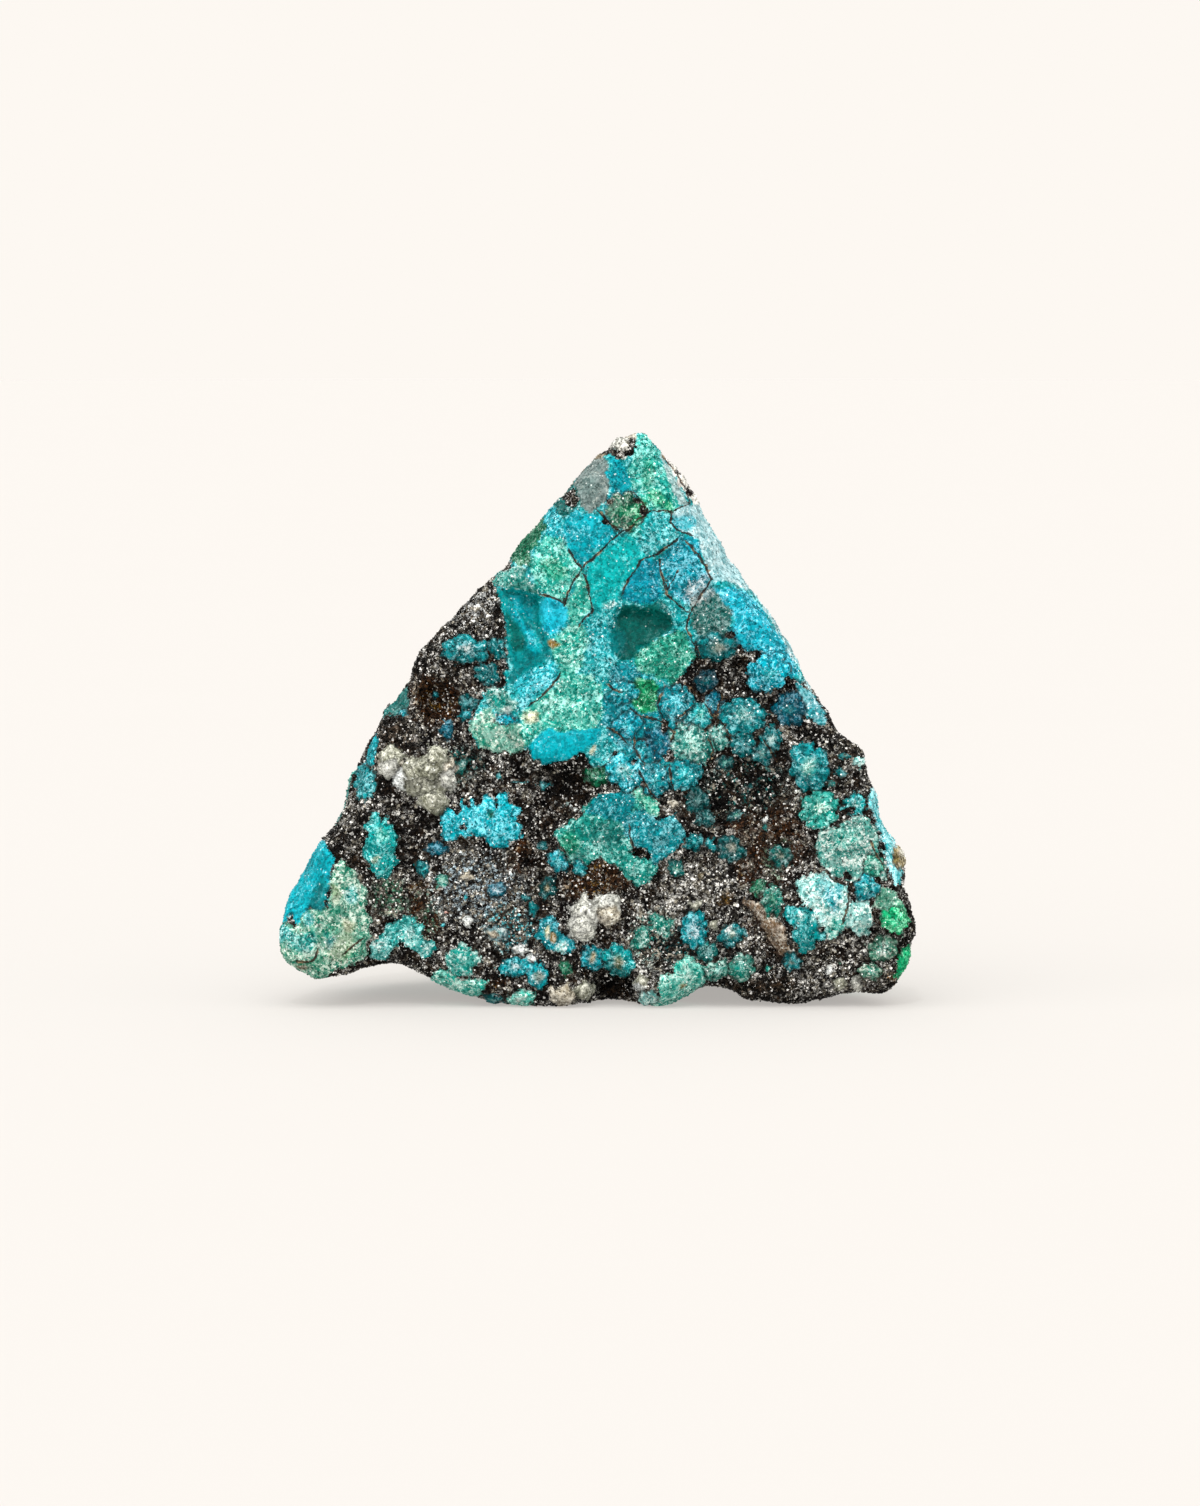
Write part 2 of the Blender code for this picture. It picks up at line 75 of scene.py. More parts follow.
# Colours as they look in soft daylight, in 0 to 255
COLOURS = {
    "cyan": (0, 179, 195), "bright_blue": (0, 167, 187), "blue": (0, 147, 160), "deep_blue": (0, 60, 72),
    "turquoise": (36, 177, 181), "pale_turquoise": (56, 191, 203), "aqua": (9, 196, 196),
    "teal": (23, 139, 145), "deep_teal": (0, 109, 101), "grey_teal": (42, 118, 114),
    "dull_teal": (14, 86, 87), "ledge_teal": (50, 124, 120), "green_teal": (54, 158, 146),
    "mint": (98, 202, 185), "mint_green": (59, 184, 171), "pale_mint": (144, 199, 182),
    "mint_cyan": (125, 202, 188), "green": (18, 154, 101), "malachite": (30, 174, 116),
    "olive": (18, 110, 74), "pale_green": (123, 202, 181), "grey_mint": (124, 172, 164),
    "corner_mint": (117, 174, 154), "pale_cyan": (184, 232, 228), "ridge_mint": (195, 225, 225),
    "white": (242, 246, 245), "beige": (176, 164, 133), "side_white": (255, 254, 248),
    "grey_quartz": (165, 166, 153), "chalcedony": (132, 149, 147), "stain_grey": (170, 192, 198),
    "grey_green": (101, 146, 128), "speck_green": (94, 155, 125), "cream": (235, 225, 190),
    "orange": (190, 135, 55), "gold": (150, 115, 50), "rust": (118, 76, 44), "tan": (150, 134, 119),
    "facet_dark": (0, 127, 121), "bright_cyan": (49, 206, 231), "quartz_cream": (193, 187, 174),
    "quartz_white": (199, 200, 194), "corner_teal": (0, 131, 136), "matrix": (40, 33, 29),
    "grey_matrix": (52, 46, 42), "black": (22, 19, 17), "mottled_green": (37, 157, 133),
    "blue_facet": (0, 161, 184), "cluster_blue": (0, 147, 157), "edge_cyan": (198, 236, 241),
    "strip_blue": (117, 183, 191), "flank_blue": (29, 184, 206), "strip_pale": (159, 235, 241),
    "rosette_green": (0, 166, 164), "rosette_teal": (0, 150, 152), "lace_green": (75, 142, 129),
    "arch_teal": (59, 165, 160), "facet_teal": (0, 154, 158), "facet_top": (0, 180, 194),
    "side_teal": (19, 165, 177), "lobe_teal": (57, 116, 111), "dim_mint": (75, 137, 124),
    "dim_teal": (0, 110, 114), "dim_blue": (0, 99, 119), "dim_green": (48, 122, 93),
    "mid_green": (68, 150, 131), "mid_turquoise": (9, 164, 178), "light_cyan": (110, 220, 232),
    "soft_mint": (96, 166, 157), "light_mint": (81, 197, 181), "warm_grey": (150, 142, 126),
    "frost_blue": (200, 222, 232), "pink": (206, 160, 150), "pepper": (142, 171, 177),
    "teal_speck": (43, 140, 135), "far_brown": (84, 62, 44),
}

# Crusts and cleaved faces, later ones on top: colour, how lacy, how smooth, corners
FIELDS = {
    "upper_base": ("turquoise", 0.8, 0.1, [
        (-10.4, 43.0), (-10.0, 45.0), (4.5, 61.0), (12.0, 52.0), (17.5, 43.5), (23.0, 33.5), (20.4, 32.6),
        (16.0, 36.2), (14.0, 36.8), (13.4, 38.0), (10.3, 37.0), (9.3, 34.4), (7.3, 32.4), (7.4, 29.0),
        (8.3, 22.5), (4.5, 22.0), (0.3, 23.0), (-1.4, 25.8), (-4.4, 24.5), (-6.6, 25.3), (-7.0, 26.0),
        (-12.0, 26.4), (-12.9, 28.2), (-11.4, 31.5), (-9.2, 32.4), (-8.9, 36.2), (-9.6, 40.9),
    ]),
    "beige_rim": ("warm_grey", 0.4, 0.2, [
        (1.6, 58.0), (-1.5, 56.0), (-4.5, 52.5), (-2.4, 52.6), (-1.9, 53.6), (-0.8, 54.6), (1.2, 55.6),
    ]),
    "apex_green": ("mint_green", 1.0, 0.1, [
        (4.0, 57.4), (2.9, 53.6), (3.3, 52.6), (4.7, 50.7), (5.1, 49.8), (7.5, 49.6), (8.0, 50.7),
        (6.3, 55.3), (5.6, 56.6), (5.0, 59.0),
    ]),
    "ridge_strip": ("ridge_mint", 0.3, 0.3, [
        (6.3, 55.3), (8.0, 50.7), (8.8, 50.7), (8.5, 51.8), (6.4, 55.8),
    ]),
    "apex_side": ("side_white", 0.5, 0.2, [
        (6.4, 55.8), (6.8, 57.0), (9.5, 55.0), (11.0, 51.0), (10.3, 50.0), (9.1, 51.2),
    ]),
    "chalcedony": ("chalcedony", 0.25, 0.5, [
        (-0.3, 55.1), (1.0, 55.0), (1.2, 52.3), (1.0, 51.2), (0.2, 50.2), (-0.7, 49.6), (-1.6, 50.4),
        (-2.4, 52.6), (-1.9, 53.6),
    ]),
    "grey_teal_edge": ("grey_teal", 0.5, 0.1, [
        (-5.5, 49.5), (-3.7, 52.5), (-2.4, 52.6), (-1.6, 50.4), (-2.9, 49.6), (-3.4, 49.0),
    ]),
    "cyan_strip": ("cyan", 0.3, 0.3, [
        (1.3, 55.1), (2.1, 55.0), (2.9, 53.9), (3.3, 52.6), (2.9, 51.8), (2.2, 51.6), (1.0, 50.2),
        (0.4, 50.0), (1.3, 52.0), (1.2, 52.8), (0.8, 53.5), (1.4, 53.9),
    ]),
    "bright_turquoise": ("cyan", 0.35, 0.4, [
        (-3.0, 49.6), (-2.0, 50.2), (-1.4, 49.6), (0.2, 49.4), (1.6, 48.0), (1.7, 47.5), (1.0, 46.7),
        (-0.3, 45.9), (-1.5, 44.3), (-2.7, 45.9), (-3.2, 47.0), (-3.4, 48.3),
    ]),
    "flecked_turquoise": ("turquoise", 1.0, 0.1, [
        (3.5, 47.2), (4.8, 49.4), (5.9, 49.8), (7.2, 49.4), (7.3, 48.6), (8.0, 47.2), (7.2, 46.5),
        (5.3, 45.5), (4.5, 45.9),
    ]),
    "aqua_face": ("aqua", 0.3, 0.5, [
        (-0.8, 44.8), (2.9, 47.5), (3.7, 47.2), (4.0, 46.4), (4.8, 45.6), (2.1, 41.6), (1.3, 40.8),
        (-0.4, 40.0), (-0.8, 41.0), (-1.0, 42.9),
    ]),
    "blue_teal": ("blue_facet", 0.35, 0.3, [
        (2.7, 42.4), (4.4, 44.8), (5.3, 45.1), (6.1, 44.8), (6.7, 41.9), (5.3, 40.5), (3.2, 40.8),
        (2.5, 41.3),
    ]),
    "flecked_blue": ("bright_blue", 1.0, 0.1, [
        (6.1, 45.6), (7.7, 46.7), (8.3, 47.5), (9.6, 47.2), (10.2, 46.1), (10.4, 44.8), (11.1, 43.7),
        (11.2, 42.7), (9.3, 40.5), (8.3, 40.8), (7.2, 41.6), (6.4, 43.7),
    ]),
    "pale_bevel": ("edge_cyan", 0.25, 0.4, [
        (7.5, 49.6), (8.0, 50.2), (11.0, 51.0), (16.5, 43.5), (15.2, 42.0), (12.8, 42.9), (11.8, 42.9),
        (11.2, 43.2), (11.0, 44.3), (10.4, 45.6), (10.2, 47.0), (8.0, 48.0), (7.5, 48.8),
    ]),
    "mint_flecked": ("light_mint", 1.0, 0.1, [
        (-6.5, 42.9), (-6.7, 44.5), (-5.4, 47.0), (-4.9, 47.5), (-3.5, 47.2), (-3.0, 46.1), (-1.5, 44.1),
        (-3.3, 40.8), (-5.7, 41.9),
    ]),
    "pale_shoulder": ("pale_turquoise", 0.9, 0.1, [
        (-5.3, 48.3), (-5.4, 50.2), (-4.3, 50.5), (-3.5, 49.0), (-3.3, 47.5), (-4.3, 47.2), (-5.1, 47.5),
    ]),
    "grey_green_edge": ("dim_green", 0.5, 0.1, [
        (-9.3, 45.4), (-6.0, 50.4), (-5.1, 48.3), (-6.7, 44.8), (-7.8, 44.3),
    ]),
    "grey_mint_strip": ("soft_mint", 0.8, 0.2, [
        (-10.6, 42.9), (-9.9, 44.0), (-8.3, 44.4), (-7.2, 44.4), (-6.7, 42.9), (-5.6, 41.6), (-8.3, 42.3),
        (-9.7, 42.3),
    ]),
    "mint_wedge": ("mint", 0.6, 0.2, [
        (-1.5, 44.0), (-0.7, 41.3), (-0.7, 40.0), (-1.9, 38.6), (-2.7, 38.4), (-3.1, 40.8),
    ]),
    "mint_beside_facet": ("mint", 0.9, 0.1, [
        (-3.2, 38.3), (-1.7, 38.5), (-0.7, 37.0), (-1.2, 35.0), (-2.7, 33.0), (-4.2, 32.0), (-3.7, 34.0),
        (-4.6, 35.5), (-4.9, 36.5),
    ]),
    "cyan_white": ("pale_turquoise", 0.9, 0.1, [
        (-8.3, 32.5), (-7.8, 33.3), (-5.6, 34.2), (-4.6, 34.9), (-4.0, 34.1), (-4.3, 33.0), (-4.8, 32.2),
        (-5.9, 31.7), (-7.5, 30.1), (-8.0, 30.6), (-7.8, 31.4),
    ]),
    "pale_mint_a": ("soft_mint", 0.7, 0.1, [
        (-11.3, 32.0), (-10.5, 32.7), (-9.2, 32.0), (-7.8, 30.5), (-8.5, 29.8), (-10.0, 29.8),
        (-11.0, 30.4),
    ]),
    "pale_mint_b": ("pale_mint", 0.7, 0.1, [
        (-12.9, 28.2), (-12.2, 29.4), (-10.7, 30.2), (-9.2, 28.5), (-7.7, 28.8), (-6.9, 29.5),
        (-6.7, 27.5), (-7.2, 26.0), (-8.7, 25.5), (-10.5, 25.8), (-11.9, 26.5),
    ]),
    "big_mint": ("mint", 0.9, 0.1, [
        (-7.8, 29.5), (-4.0, 32.8), (-3.0, 33.3), (-1.4, 33.6), (-0.3, 33.0), (0.5, 32.2), (1.0, 31.1),
        (-0.3, 27.7), (-3.3, 27.4), (-4.6, 27.9), (-6.7, 26.1), (-7.5, 27.4),
    ]),
    "cyan_ledge": ("cyan", 0.05, 0.8, [
        (-6.8, 26.5), (-4.8, 28.2), (-3.9, 27.7), (0.3, 28.2), (0.4, 27.3), (-2.7, 25.1), (-5.6, 24.3),
        (-5.9, 25.2), (-6.6, 25.3),
    ]),
    "blue_zone": ("blue", 0.5, 0.1, [
        (1.5, 34.2), (2.8, 34.6), (4.3, 34.2), (5.3, 33.0), (5.8, 31.0), (7.8, 29.0), (8.1, 27.0),
        (7.5, 25.3), (5.8, 24.5), (4.3, 25.0), (1.5, 26.8), (0.7, 28.5), (0.6, 30.5),
    ]),
    "green_mottled": ("mottled_green", 0.9, 0.1, [
        (3.7, 34.9), (4.3, 36.0), (8.0, 38.1), (8.8, 37.6), (9.9, 35.4), (8.3, 33.3), (7.5, 32.6),
        (4.0, 33.8),
    ]),
    "green_lobe": ("green", 0.7, 0.1, [
        (3.6, 33.3), (5.1, 33.2), (6.1, 32.2), (6.3, 31.1), (5.6, 29.8), (4.5, 29.4), (3.7, 30.1),
    ]),
    "grey_teal_lobe": ("lobe_teal", 1.0, 0.1, [
        (9.2, 41.0), (10.5, 42.0), (12.0, 42.2), (13.2, 41.2), (13.6, 39.5), (13.0, 37.8), (11.8, 37.2),
        (10.3, 37.4), (9.3, 38.4),
    ]),
    "right_blue": ("flank_blue", 0.6, 0.2, [
        (11.6, 42.1), (12.8, 42.4), (14.2, 42.1), (15.4, 41.5), (18.4, 37.1), (20.1, 33.9), (19.5, 33.3),
        (16.0, 36.2), (14.8, 35.9), (14.0, 36.8), (13.4, 38.0), (13.7, 39.1), (13.1, 40.3),
    ]),
    "right_edge": ("edge_cyan", 0.5, 0.2, [
        (14.2, 42.9), (17.0, 43.5), (23.0, 33.5), (21.2, 32.0), (17.0, 39.6), (15.6, 41.7),
    ]),
    "right_strip": ("strip_blue", 0.5, 0.2, [
        (19.8, 33.2), (21.8, 31.2), (23.2, 29.0), (22.6, 28.2), (20.8, 29.5), (20.1, 30.5),
    ]),
    "middle_mass": ("green_teal", 0.8, 0.1, [
        (-4.4, 17.5), (-3.4, 18.5), (-1.5, 19.8), (-0.6, 21.0), (0.6, 21.7), (2.9, 21.9), (3.7, 21.4),
        (4.4, 21.7), (5.6, 21.4), (6.5, 20.0), (6.3, 19.4), (5.6, 19.1), (3.5, 16.8), (3.3, 15.8),
        (4.4, 15.2), (5.6, 15.0), (6.2, 14.3), (5.6, 13.3), (4.1, 12.2), (3.3, 12.7), (2.5, 13.9),
        (1.8, 14.5), (0.4, 15.2), (-0.6, 14.7), (-1.3, 13.9), (-2.1, 13.7),
    ]),
    "middle_cyan": ("cluster_blue", 0.5, 0.1, [
        (-1.4, 19.5), (-0.5, 21.0), (0.6, 21.7), (1.8, 21.9), (3.1, 21.8), (3.9, 21.0), (3.5, 19.8),
        (2.5, 18.8), (1.3, 19.0), (0.3, 19.8),
    ]),
    "middle_pale": ("pale_green", 0.7, 0.1, [
        (3.6, 22.0), (4.5, 22.1), (5.5, 21.5), (6.3, 20.4), (6.5, 19.5), (5.8, 19.2), (4.1, 20.7),
    ]),
    "blue_cluster": ("cluster_blue", 0.8, 0.1, [
        (2.5, 19.1), (3.5, 19.8), (4.4, 20.0), (6.3, 18.9), (6.7, 19.4), (7.5, 19.4), (8.3, 18.7),
        (8.8, 17.7), (8.6, 16.8), (6.5, 14.7), (5.6, 14.8), (4.4, 16.2), (3.7, 16.4), (3.5, 17.1),
        (2.7, 17.9),
    ]),
    "left_ledge": ("ledge_teal", 0.3, 0.3, [
        (-19.2, 32.5), (-18.8, 31.0), (-18.9, 29.8), (-19.9, 29.4), (-21.2, 29.6), (-22.6, 28.6),
        (-22.6, 30.6), (-20.6, 32.6),
    ]),
    "left_side_upper": ("side_teal", 0.3, 0.3, [
        (-22.3, 27.7), (-22.1, 26.0), (-22.5, 24.5), (-23.1, 24.0), (-23.5, 24.2), (-22.7, 27.0),
    ]),
    "left_side_lower": ("ledge_teal", 0.3, 0.3, [
        (-24.4, 24.4), (-25.9, 18.8), (-27.5, 19.0), (-26.5, 22.2), (-25.4, 24.4),
    ]),
    "left_corner_cyan": ("cyan", 0.15, 0.55, [
        (-28.0, 17.0), (-29.2, 14.6), (-30.3, 13.2), (-30.9, 12.0), (-31.8, 8.6), (-31.4, 8.6),
        (-31.0, 9.3), (-30.5, 9.6), (-29.8, 8.4), (-29.4, 8.2), (-28.7, 10.4), (-27.5, 9.9), (-27.0, 10.4),
        (-27.0, 11.5), (-26.6, 12.6), (-26.7, 13.8), (-26.4, 14.6), (-25.9, 15.1), (-26.9, 16.0),
        (-27.3, 16.9),
    ]),
    "left_corner_mint": ("corner_mint", 0.9, 0.1, [
        (-25.4, 15.1), (-24.0, 13.5), (-23.7, 12.6), (-23.3, 12.5), (-23.1, 11.4), (-23.3, 10.2),
        (-22.8, 9.7), (-22.4, 7.4), (-22.9, 6.6), (-22.8, 5.7), (-23.6, 4.9), (-26.4, 4.0), (-27.9, 1.6),
        (-33.0, 3.6), (-33.8, 8.6), (-31.3, 8.8), (-30.2, 8.3), (-28.9, 10.1), (-26.8, 10.4),
        (-26.5, 13.8),
    ]),
    "left_rosette": ("rosette_green", 0.9, 0.15, [
        (-23.4, 18.5), (-22.9, 18.7), (-22.5, 19.0), (-22.7, 19.8), (-22.2, 20.0), (-21.8, 19.7),
        (-21.6, 19.0), (-21.2, 19.4), (-20.9, 19.3), (-20.9, 18.7), (-20.2, 18.6), (-20.3, 18.0),
        (-19.8, 17.4), (-20.2, 16.9), (-19.7, 16.3), (-20.2, 16.0), (-20.2, 15.4), (-19.7, 15.0),
        (-19.9, 14.5), (-20.5, 14.1), (-21.0, 13.3), (-21.7, 13.2), (-22.4, 13.9), (-22.9, 14.2),
        (-22.9, 14.9), (-23.3, 15.4), (-23.5, 16.2), (-23.2, 16.8), (-22.9, 17.0), (-22.9, 17.5),
        (-23.3, 18.0),
    ]),
    "big_rosette": ("cyan", 0.9, 0.15, [
        (-15.7, 19.4), (-15.2, 20.1), (-14.6, 20.1), (-14.0, 19.7), (-13.6, 20.1), (-13.5, 20.9),
        (-13.0, 21.4), (-12.4, 21.2), (-12.0, 20.5), (-11.6, 20.8), (-11.4, 21.5), (-10.6, 21.6),
        (-10.2, 20.9), (-9.7, 21.5), (-9.1, 21.5), (-8.9, 20.8), (-8.1, 20.5), (-7.5, 20.1), (-7.6, 19.6),
        (-8.1, 19.4), (-8.0, 19.0), (-7.5, 18.7), (-7.5, 17.9), (-7.8, 17.0), (-8.4, 16.8), (-8.9, 17.1),
        (-9.1, 16.4), (-9.6, 16.1), (-10.3, 16.0), (-10.9, 16.3), (-11.1, 16.9), (-11.0, 17.3),
        (-11.9, 17.4), (-12.5, 17.9), (-12.9, 17.3), (-13.5, 17.4), (-13.9, 17.8), (-14.0, 17.1),
        (-14.5, 16.8), (-15.1, 16.9), (-15.6, 17.5), (-15.4, 18.2), (-15.4, 18.8),
    ]),
    "arch_lobes": ("arch_teal", 0.8, 0.1, [
        (-22.9, 5.3), (-22.8, 6.5), (-21.9, 7.4), (-21.5, 8.0), (-21.0, 8.5), (-20.4, 8.6), (-19.9, 9.2),
        (-19.2, 9.5), (-18.4, 9.3), (-18.0, 8.8), (-17.4, 8.7), (-17.2, 8.0), (-17.4, 7.5), (-17.0, 6.9),
        (-16.3, 6.8), (-15.9, 6.2), (-16.4, 5.5), (-17.0, 5.1), (-17.7, 5.4), (-18.4, 6.0), (-19.1, 6.7),
        (-19.8, 6.9), (-20.2, 6.3), (-20.6, 5.6), (-21.3, 4.9), (-22.1, 4.8),
    ]),
    "foot_mint_left": ("mint_cyan", 0.8, 0.1, [
        (-16.8, 3.2), (-16.0, 4.3), (-15.4, 3.9), (-14.9, 4.0), (-14.0, 3.1), (-12.8, 2.9), (-12.2, 3.2),
        (-11.0, 2.9), (-11.6, 1.6), (-12.9, 0.9), (-13.8, 1.0), (-14.9, 1.6),
    ]),
    "foot_mint_right": ("mint_cyan", 0.7, 0.2, [
        (5.2, 0.0), (5.5, 0.9), (6.2, 1.3), (5.9, 2.4), (6.4, 3.3), (7.6, 3.8), (7.4, 4.3), (8.6, 5.4),
        (9.2, 5.6), (9.6, 5.0), (10.2, 4.9), (10.5, 4.4), (11.0, 4.3), (11.5, 4.7), (12.2, 4.8),
        (12.8, 4.4), (12.9, 3.7), (12.3, 3.1), (11.4, 3.1), (10.6, 2.6), (9.2, 1.0), (8.2, 0.3),
        (7.0, -0.3), (6.0, -0.3),
    ]),
    "right_grey_mint": ("grey_mint", 0.9, 0.1, [
        (21.7, 16.9), (22.2, 17.8), (23.0, 17.9), (24.2, 18.5), (25.0, 19.2), (27.0, 19.5), (27.9, 18.5),
        (28.2, 17.5), (28.3, 15.0), (28.9, 13.9), (28.9, 13.1), (28.0, 12.9), (27.4, 13.2), (27.2, 14.3),
        (26.5, 13.3), (25.6, 12.9), (24.5, 12.9), (22.2, 14.6),
    ]),
    "pale_region": ("pale_cyan", 0.8, 0.1, [
        (19.8, 12.5), (20.6, 13.4), (22.4, 13.8), (23.2, 13.6), (24.9, 12.5), (25.1, 10.8), (26.2, 11.2),
        (27.2, 10.9), (27.5, 9.7), (27.4, 8.5), (26.9, 7.6), (26.2, 7.3), (24.8, 8.4), (23.6, 7.3),
        (22.8, 7.0), (22.7, 7.9), (21.9, 8.2), (21.9, 9.5), (21.3, 10.3), (20.5, 10.5), (20.0, 11.4),
    ]),
    "right_mint": ("corner_mint", 0.6, 0.3, [
        (27.6, 10.9), (28.3, 12.1), (28.9, 12.2), (29.8, 11.9), (30.9, 10.1), (31.1, 9.2), (31.0, 8.5),
        (30.3, 7.6), (28.1, 8.4), (28.0, 9.2), (28.3, 9.9), (27.7, 10.3),
    ]),
    "right_teal_rosette": ("rosette_teal", 0.6, 0.1, [
        (18.6, 9.5), (18.8, 10.3), (20.0, 10.7), (20.6, 10.3), (21.4, 10.0), (21.9, 9.0), (21.9, 8.1),
        (22.6, 7.8), (22.6, 7.1), (21.9, 6.9), (21.6, 6.0), (20.9, 5.6), (20.2, 5.8), (19.9, 6.8),
        (19.3, 7.4), (19.8, 8.2), (18.9, 8.6),
    ]),
    "lace_green_a": ("lace_green", 1.0, 0.0, [
        (3.3, 6.8), (4.5, 8.7), (5.2, 7.9), (5.3, 7.0), (4.9, 6.3), (4.2, 6.0), (3.6, 6.2),
    ]),
    "lace_green_b": ("lace_green", 1.0, 0.0, [
        (5.2, 9.3), (6.3, 9.6), (7.3, 9.3), (7.7, 8.5), (7.2, 8.0), (7.2, 7.2), (6.6, 6.9), (6.0, 8.0),
        (5.5, 8.2),
    ]),
    "lower_rosette": ("soft_mint", 0.9, 0.1, [
        (-15.2, 5.0), (-14.9, 5.6), (-14.3, 6.2), (-13.7, 6.5), (-13.2, 6.8), (-12.6, 6.6), (-12.4, 6.1),
        (-11.9, 5.9), (-11.6, 5.2), (-11.8, 4.5), (-12.3, 4.2), (-12.5, 3.6), (-13.2, 3.2), (-13.9, 3.2),
        (-14.5, 3.7), (-15.0, 4.3),
    ]),
    "foot_flower": ("blue", 0.9, 0.1, [
        (-6.4, 7.5), (-5.9, 8.2), (-5.6, 9.0), (-5.0, 9.6), (-4.3, 9.2), (-3.9, 8.6), (-3.9, 8.0),
        (-3.5, 7.9), (-3.0, 7.4), (-2.3, 6.9), (-2.1, 6.2), (-2.5, 5.8), (-3.2, 5.5), (-4.0, 5.9),
        (-4.6, 6.0), (-5.3, 6.0), (-5.6, 6.7), (-6.1, 7.0),
    ]),
    "quartz_left": ("quartz_cream", 0.8, 0.1, [
        (-21.9, 24.9), (-21.6, 25.6), (-20.6, 26.2), (-19.4, 25.3), (-19.3, 24.4), (-20.1, 24.2),
        (-20.4, 23.6), (-21.4, 23.4), (-21.9, 24.3),
    ]),
    "quartz_cluster": ("grey_quartz", 0.9, 0.1, [
        (-20.3, 23.2), (-20.2, 22.5), (-18.8, 21.4), (-18.1, 21.4), (-17.8, 20.4), (-16.2, 19.7),
        (-15.2, 20.2), (-15.1, 22.0), (-14.5, 22.0), (-14.0, 22.7), (-14.0, 24.3), (-15.0, 25.4),
        (-15.3, 26.3), (-16.0, 26.4), (-16.9, 25.6), (-19.1, 25.1), (-19.2, 24.4), (-19.9, 23.9),
    ]),
    "quartz_middle": ("quartz_white", 0.9, 0.1, [
        (-2.9, 9.3), (-2.7, 10.3), (-1.3, 10.8), (-1.2, 11.2), (0.0, 11.3), (0.1, 11.9), (0.5, 11.4),
        (1.2, 11.6), (1.9, 11.2), (2.5, 10.1), (1.8, 9.0), (1.2, 8.5), (0.7, 8.5), (0.4, 9.3), (0.1, 8.1),
        (-1.3, 6.8), (-1.9, 6.9), (-2.8, 8.4),
    ]),
    "quartz_foot": ("quartz_cream", 0.9, 0.1, [
        (-4.9, 1.6), (-4.5, 2.2), (-2.9, 2.3), (-2.4, 1.7), (-2.3, 1.0), (-2.9, 0.5), (-4.0, 0.3),
        (-4.6, 0.8),
    ]),
    "quartz_apex": ("quartz_cream", 0.7, 0.1, [
        (1.3, 56.2), (1.5, 58.0), (4.0, 58.2), (3.9, 57.0), (3.4, 56.3), (3.4, 55.6), (2.8, 55.2),
        (2.1, 55.4), (2.0, 56.0),
    ]),
    "malachite_edge": ("malachite", 0.4, 0.3, [
        (32.5, 6.0), (31.5, 5.4), (30.2, 3.0), (29.7, 3.4), (30.2, 4.5), (30.4, 5.8), (31.4, 6.6),
    ]),
    "flank_strip": ("strip_pale", 0.6, 0.2, [
        (27.3, 22.1), (28.8, 22.1), (30.8, 16.3), (30.4, 13.0), (29.8, 12.5), (29.2, 13.9), (28.3, 17.7),
        (27.1, 20.7),
    ]),
    "tan_ridge": ("tan", 1.0, 0.0, [
        (15.3, 11.4), (16.2, 11.0), (17.9, 9.3), (18.6, 8.2), (19.2, 7.0), (19.3, 5.8), (18.7, 5.0),
        (18.0, 5.6), (16.0, 8.9), (14.6, 10.6),
    ]),
    "teal_facet": ("facet_teal", 0.1, 0.8, [
        (-10.0, 42.0), (-8.6, 42.3), (-5.7, 41.5), (-5.8, 39.9), (-5.4, 38.0), (-4.7, 37.2), (-5.0, 35.0),
        (-5.6, 34.4), (-7.4, 33.6), (-8.4, 32.5), (-8.9, 33.0), (-8.6, 34.2), (-9.2, 38.8),
    ]),
    "teal_facet_top": ("facet_top", 0.1, 0.8, [
        (-8.9, 41.6), (-7.4, 41.5), (-5.9, 41.0), (-6.2, 38.6), (-7.3, 39.3), (-8.3, 40.4),
    ]),
    "teal_facet_left": ("facet_dark", 0.1, 0.8, [
        (-9.2, 40.0), (-7.2, 37.2), (-7.4, 36.0), (-8.2, 35.9), (-8.8, 36.8),
    ]),
    "teal_facet_ridge": ("cyan", 0.3, 0.6, [
        (-9.0, 40.7), (-8.2, 40.1), (-6.7, 38.1), (-5.3, 36.8), (-5.6, 35.7), (-6.3, 35.4), (-6.9, 36.4),
        (-7.0, 37.4), (-8.6, 39.4),
    ]),
    "cyan_facet": ("bright_cyan", 0.15, 0.7, [
        (-5.9, 39.6), (-5.6, 41.2), (-4.4, 41.2), (-3.5, 40.9), (-3.1, 40.0), (-3.0, 39.0), (-3.6, 38.1),
        (-4.7, 37.5), (-5.4, 38.2),
    ]),
    "deep_green_facet": ("deep_teal", 0.15, 0.85, [
        (2.5, 40.5), (3.2, 40.6), (4.6, 40.3), (6.0, 40.7), (6.1, 40.2), (7.5, 39.4), (7.7, 38.7),
        (7.4, 38.0), (6.0, 37.2), (5.2, 36.4), (4.4, 36.3), (3.8, 35.2), (3.0, 34.9), (2.3, 34.9),
        (1.8, 35.4), (1.3, 36.3), (1.2, 37.2),
    ]),
    "left_corner_dark": ("corner_teal", 0.1, 0.8, [
        (-27.3, 13.9), (-27.7, 12.8), (-28.4, 12.2), (-28.8, 10.4), (-27.6, 9.9), (-27.1, 10.3),
        (-27.2, 11.4), (-26.8, 12.3),
    ]),
    "facet_light": ("facet_dark", 0.15, 0.8, [
        (1.9, 39.0), (1.2, 37.0), (1.3, 36.3), (1.9, 35.4), (2.2, 36.0), (2.0, 37.0), (2.2, 38.0),
    ]),
    "apex_cyan": ("cyan", 0.3, 0.1, [
        (1.2, 55.2), (2.0, 55.1), (2.9, 54.0), (2.6, 53.4), (3.1, 52.8), (2.8, 51.9), (2.1, 51.6),
        (1.9, 50.9), (1.0, 50.1), (0.6, 50.2), (0.8, 51.0), (1.2, 51.5), (1.2, 52.7), (0.8, 53.6),
        (1.4, 54.2),
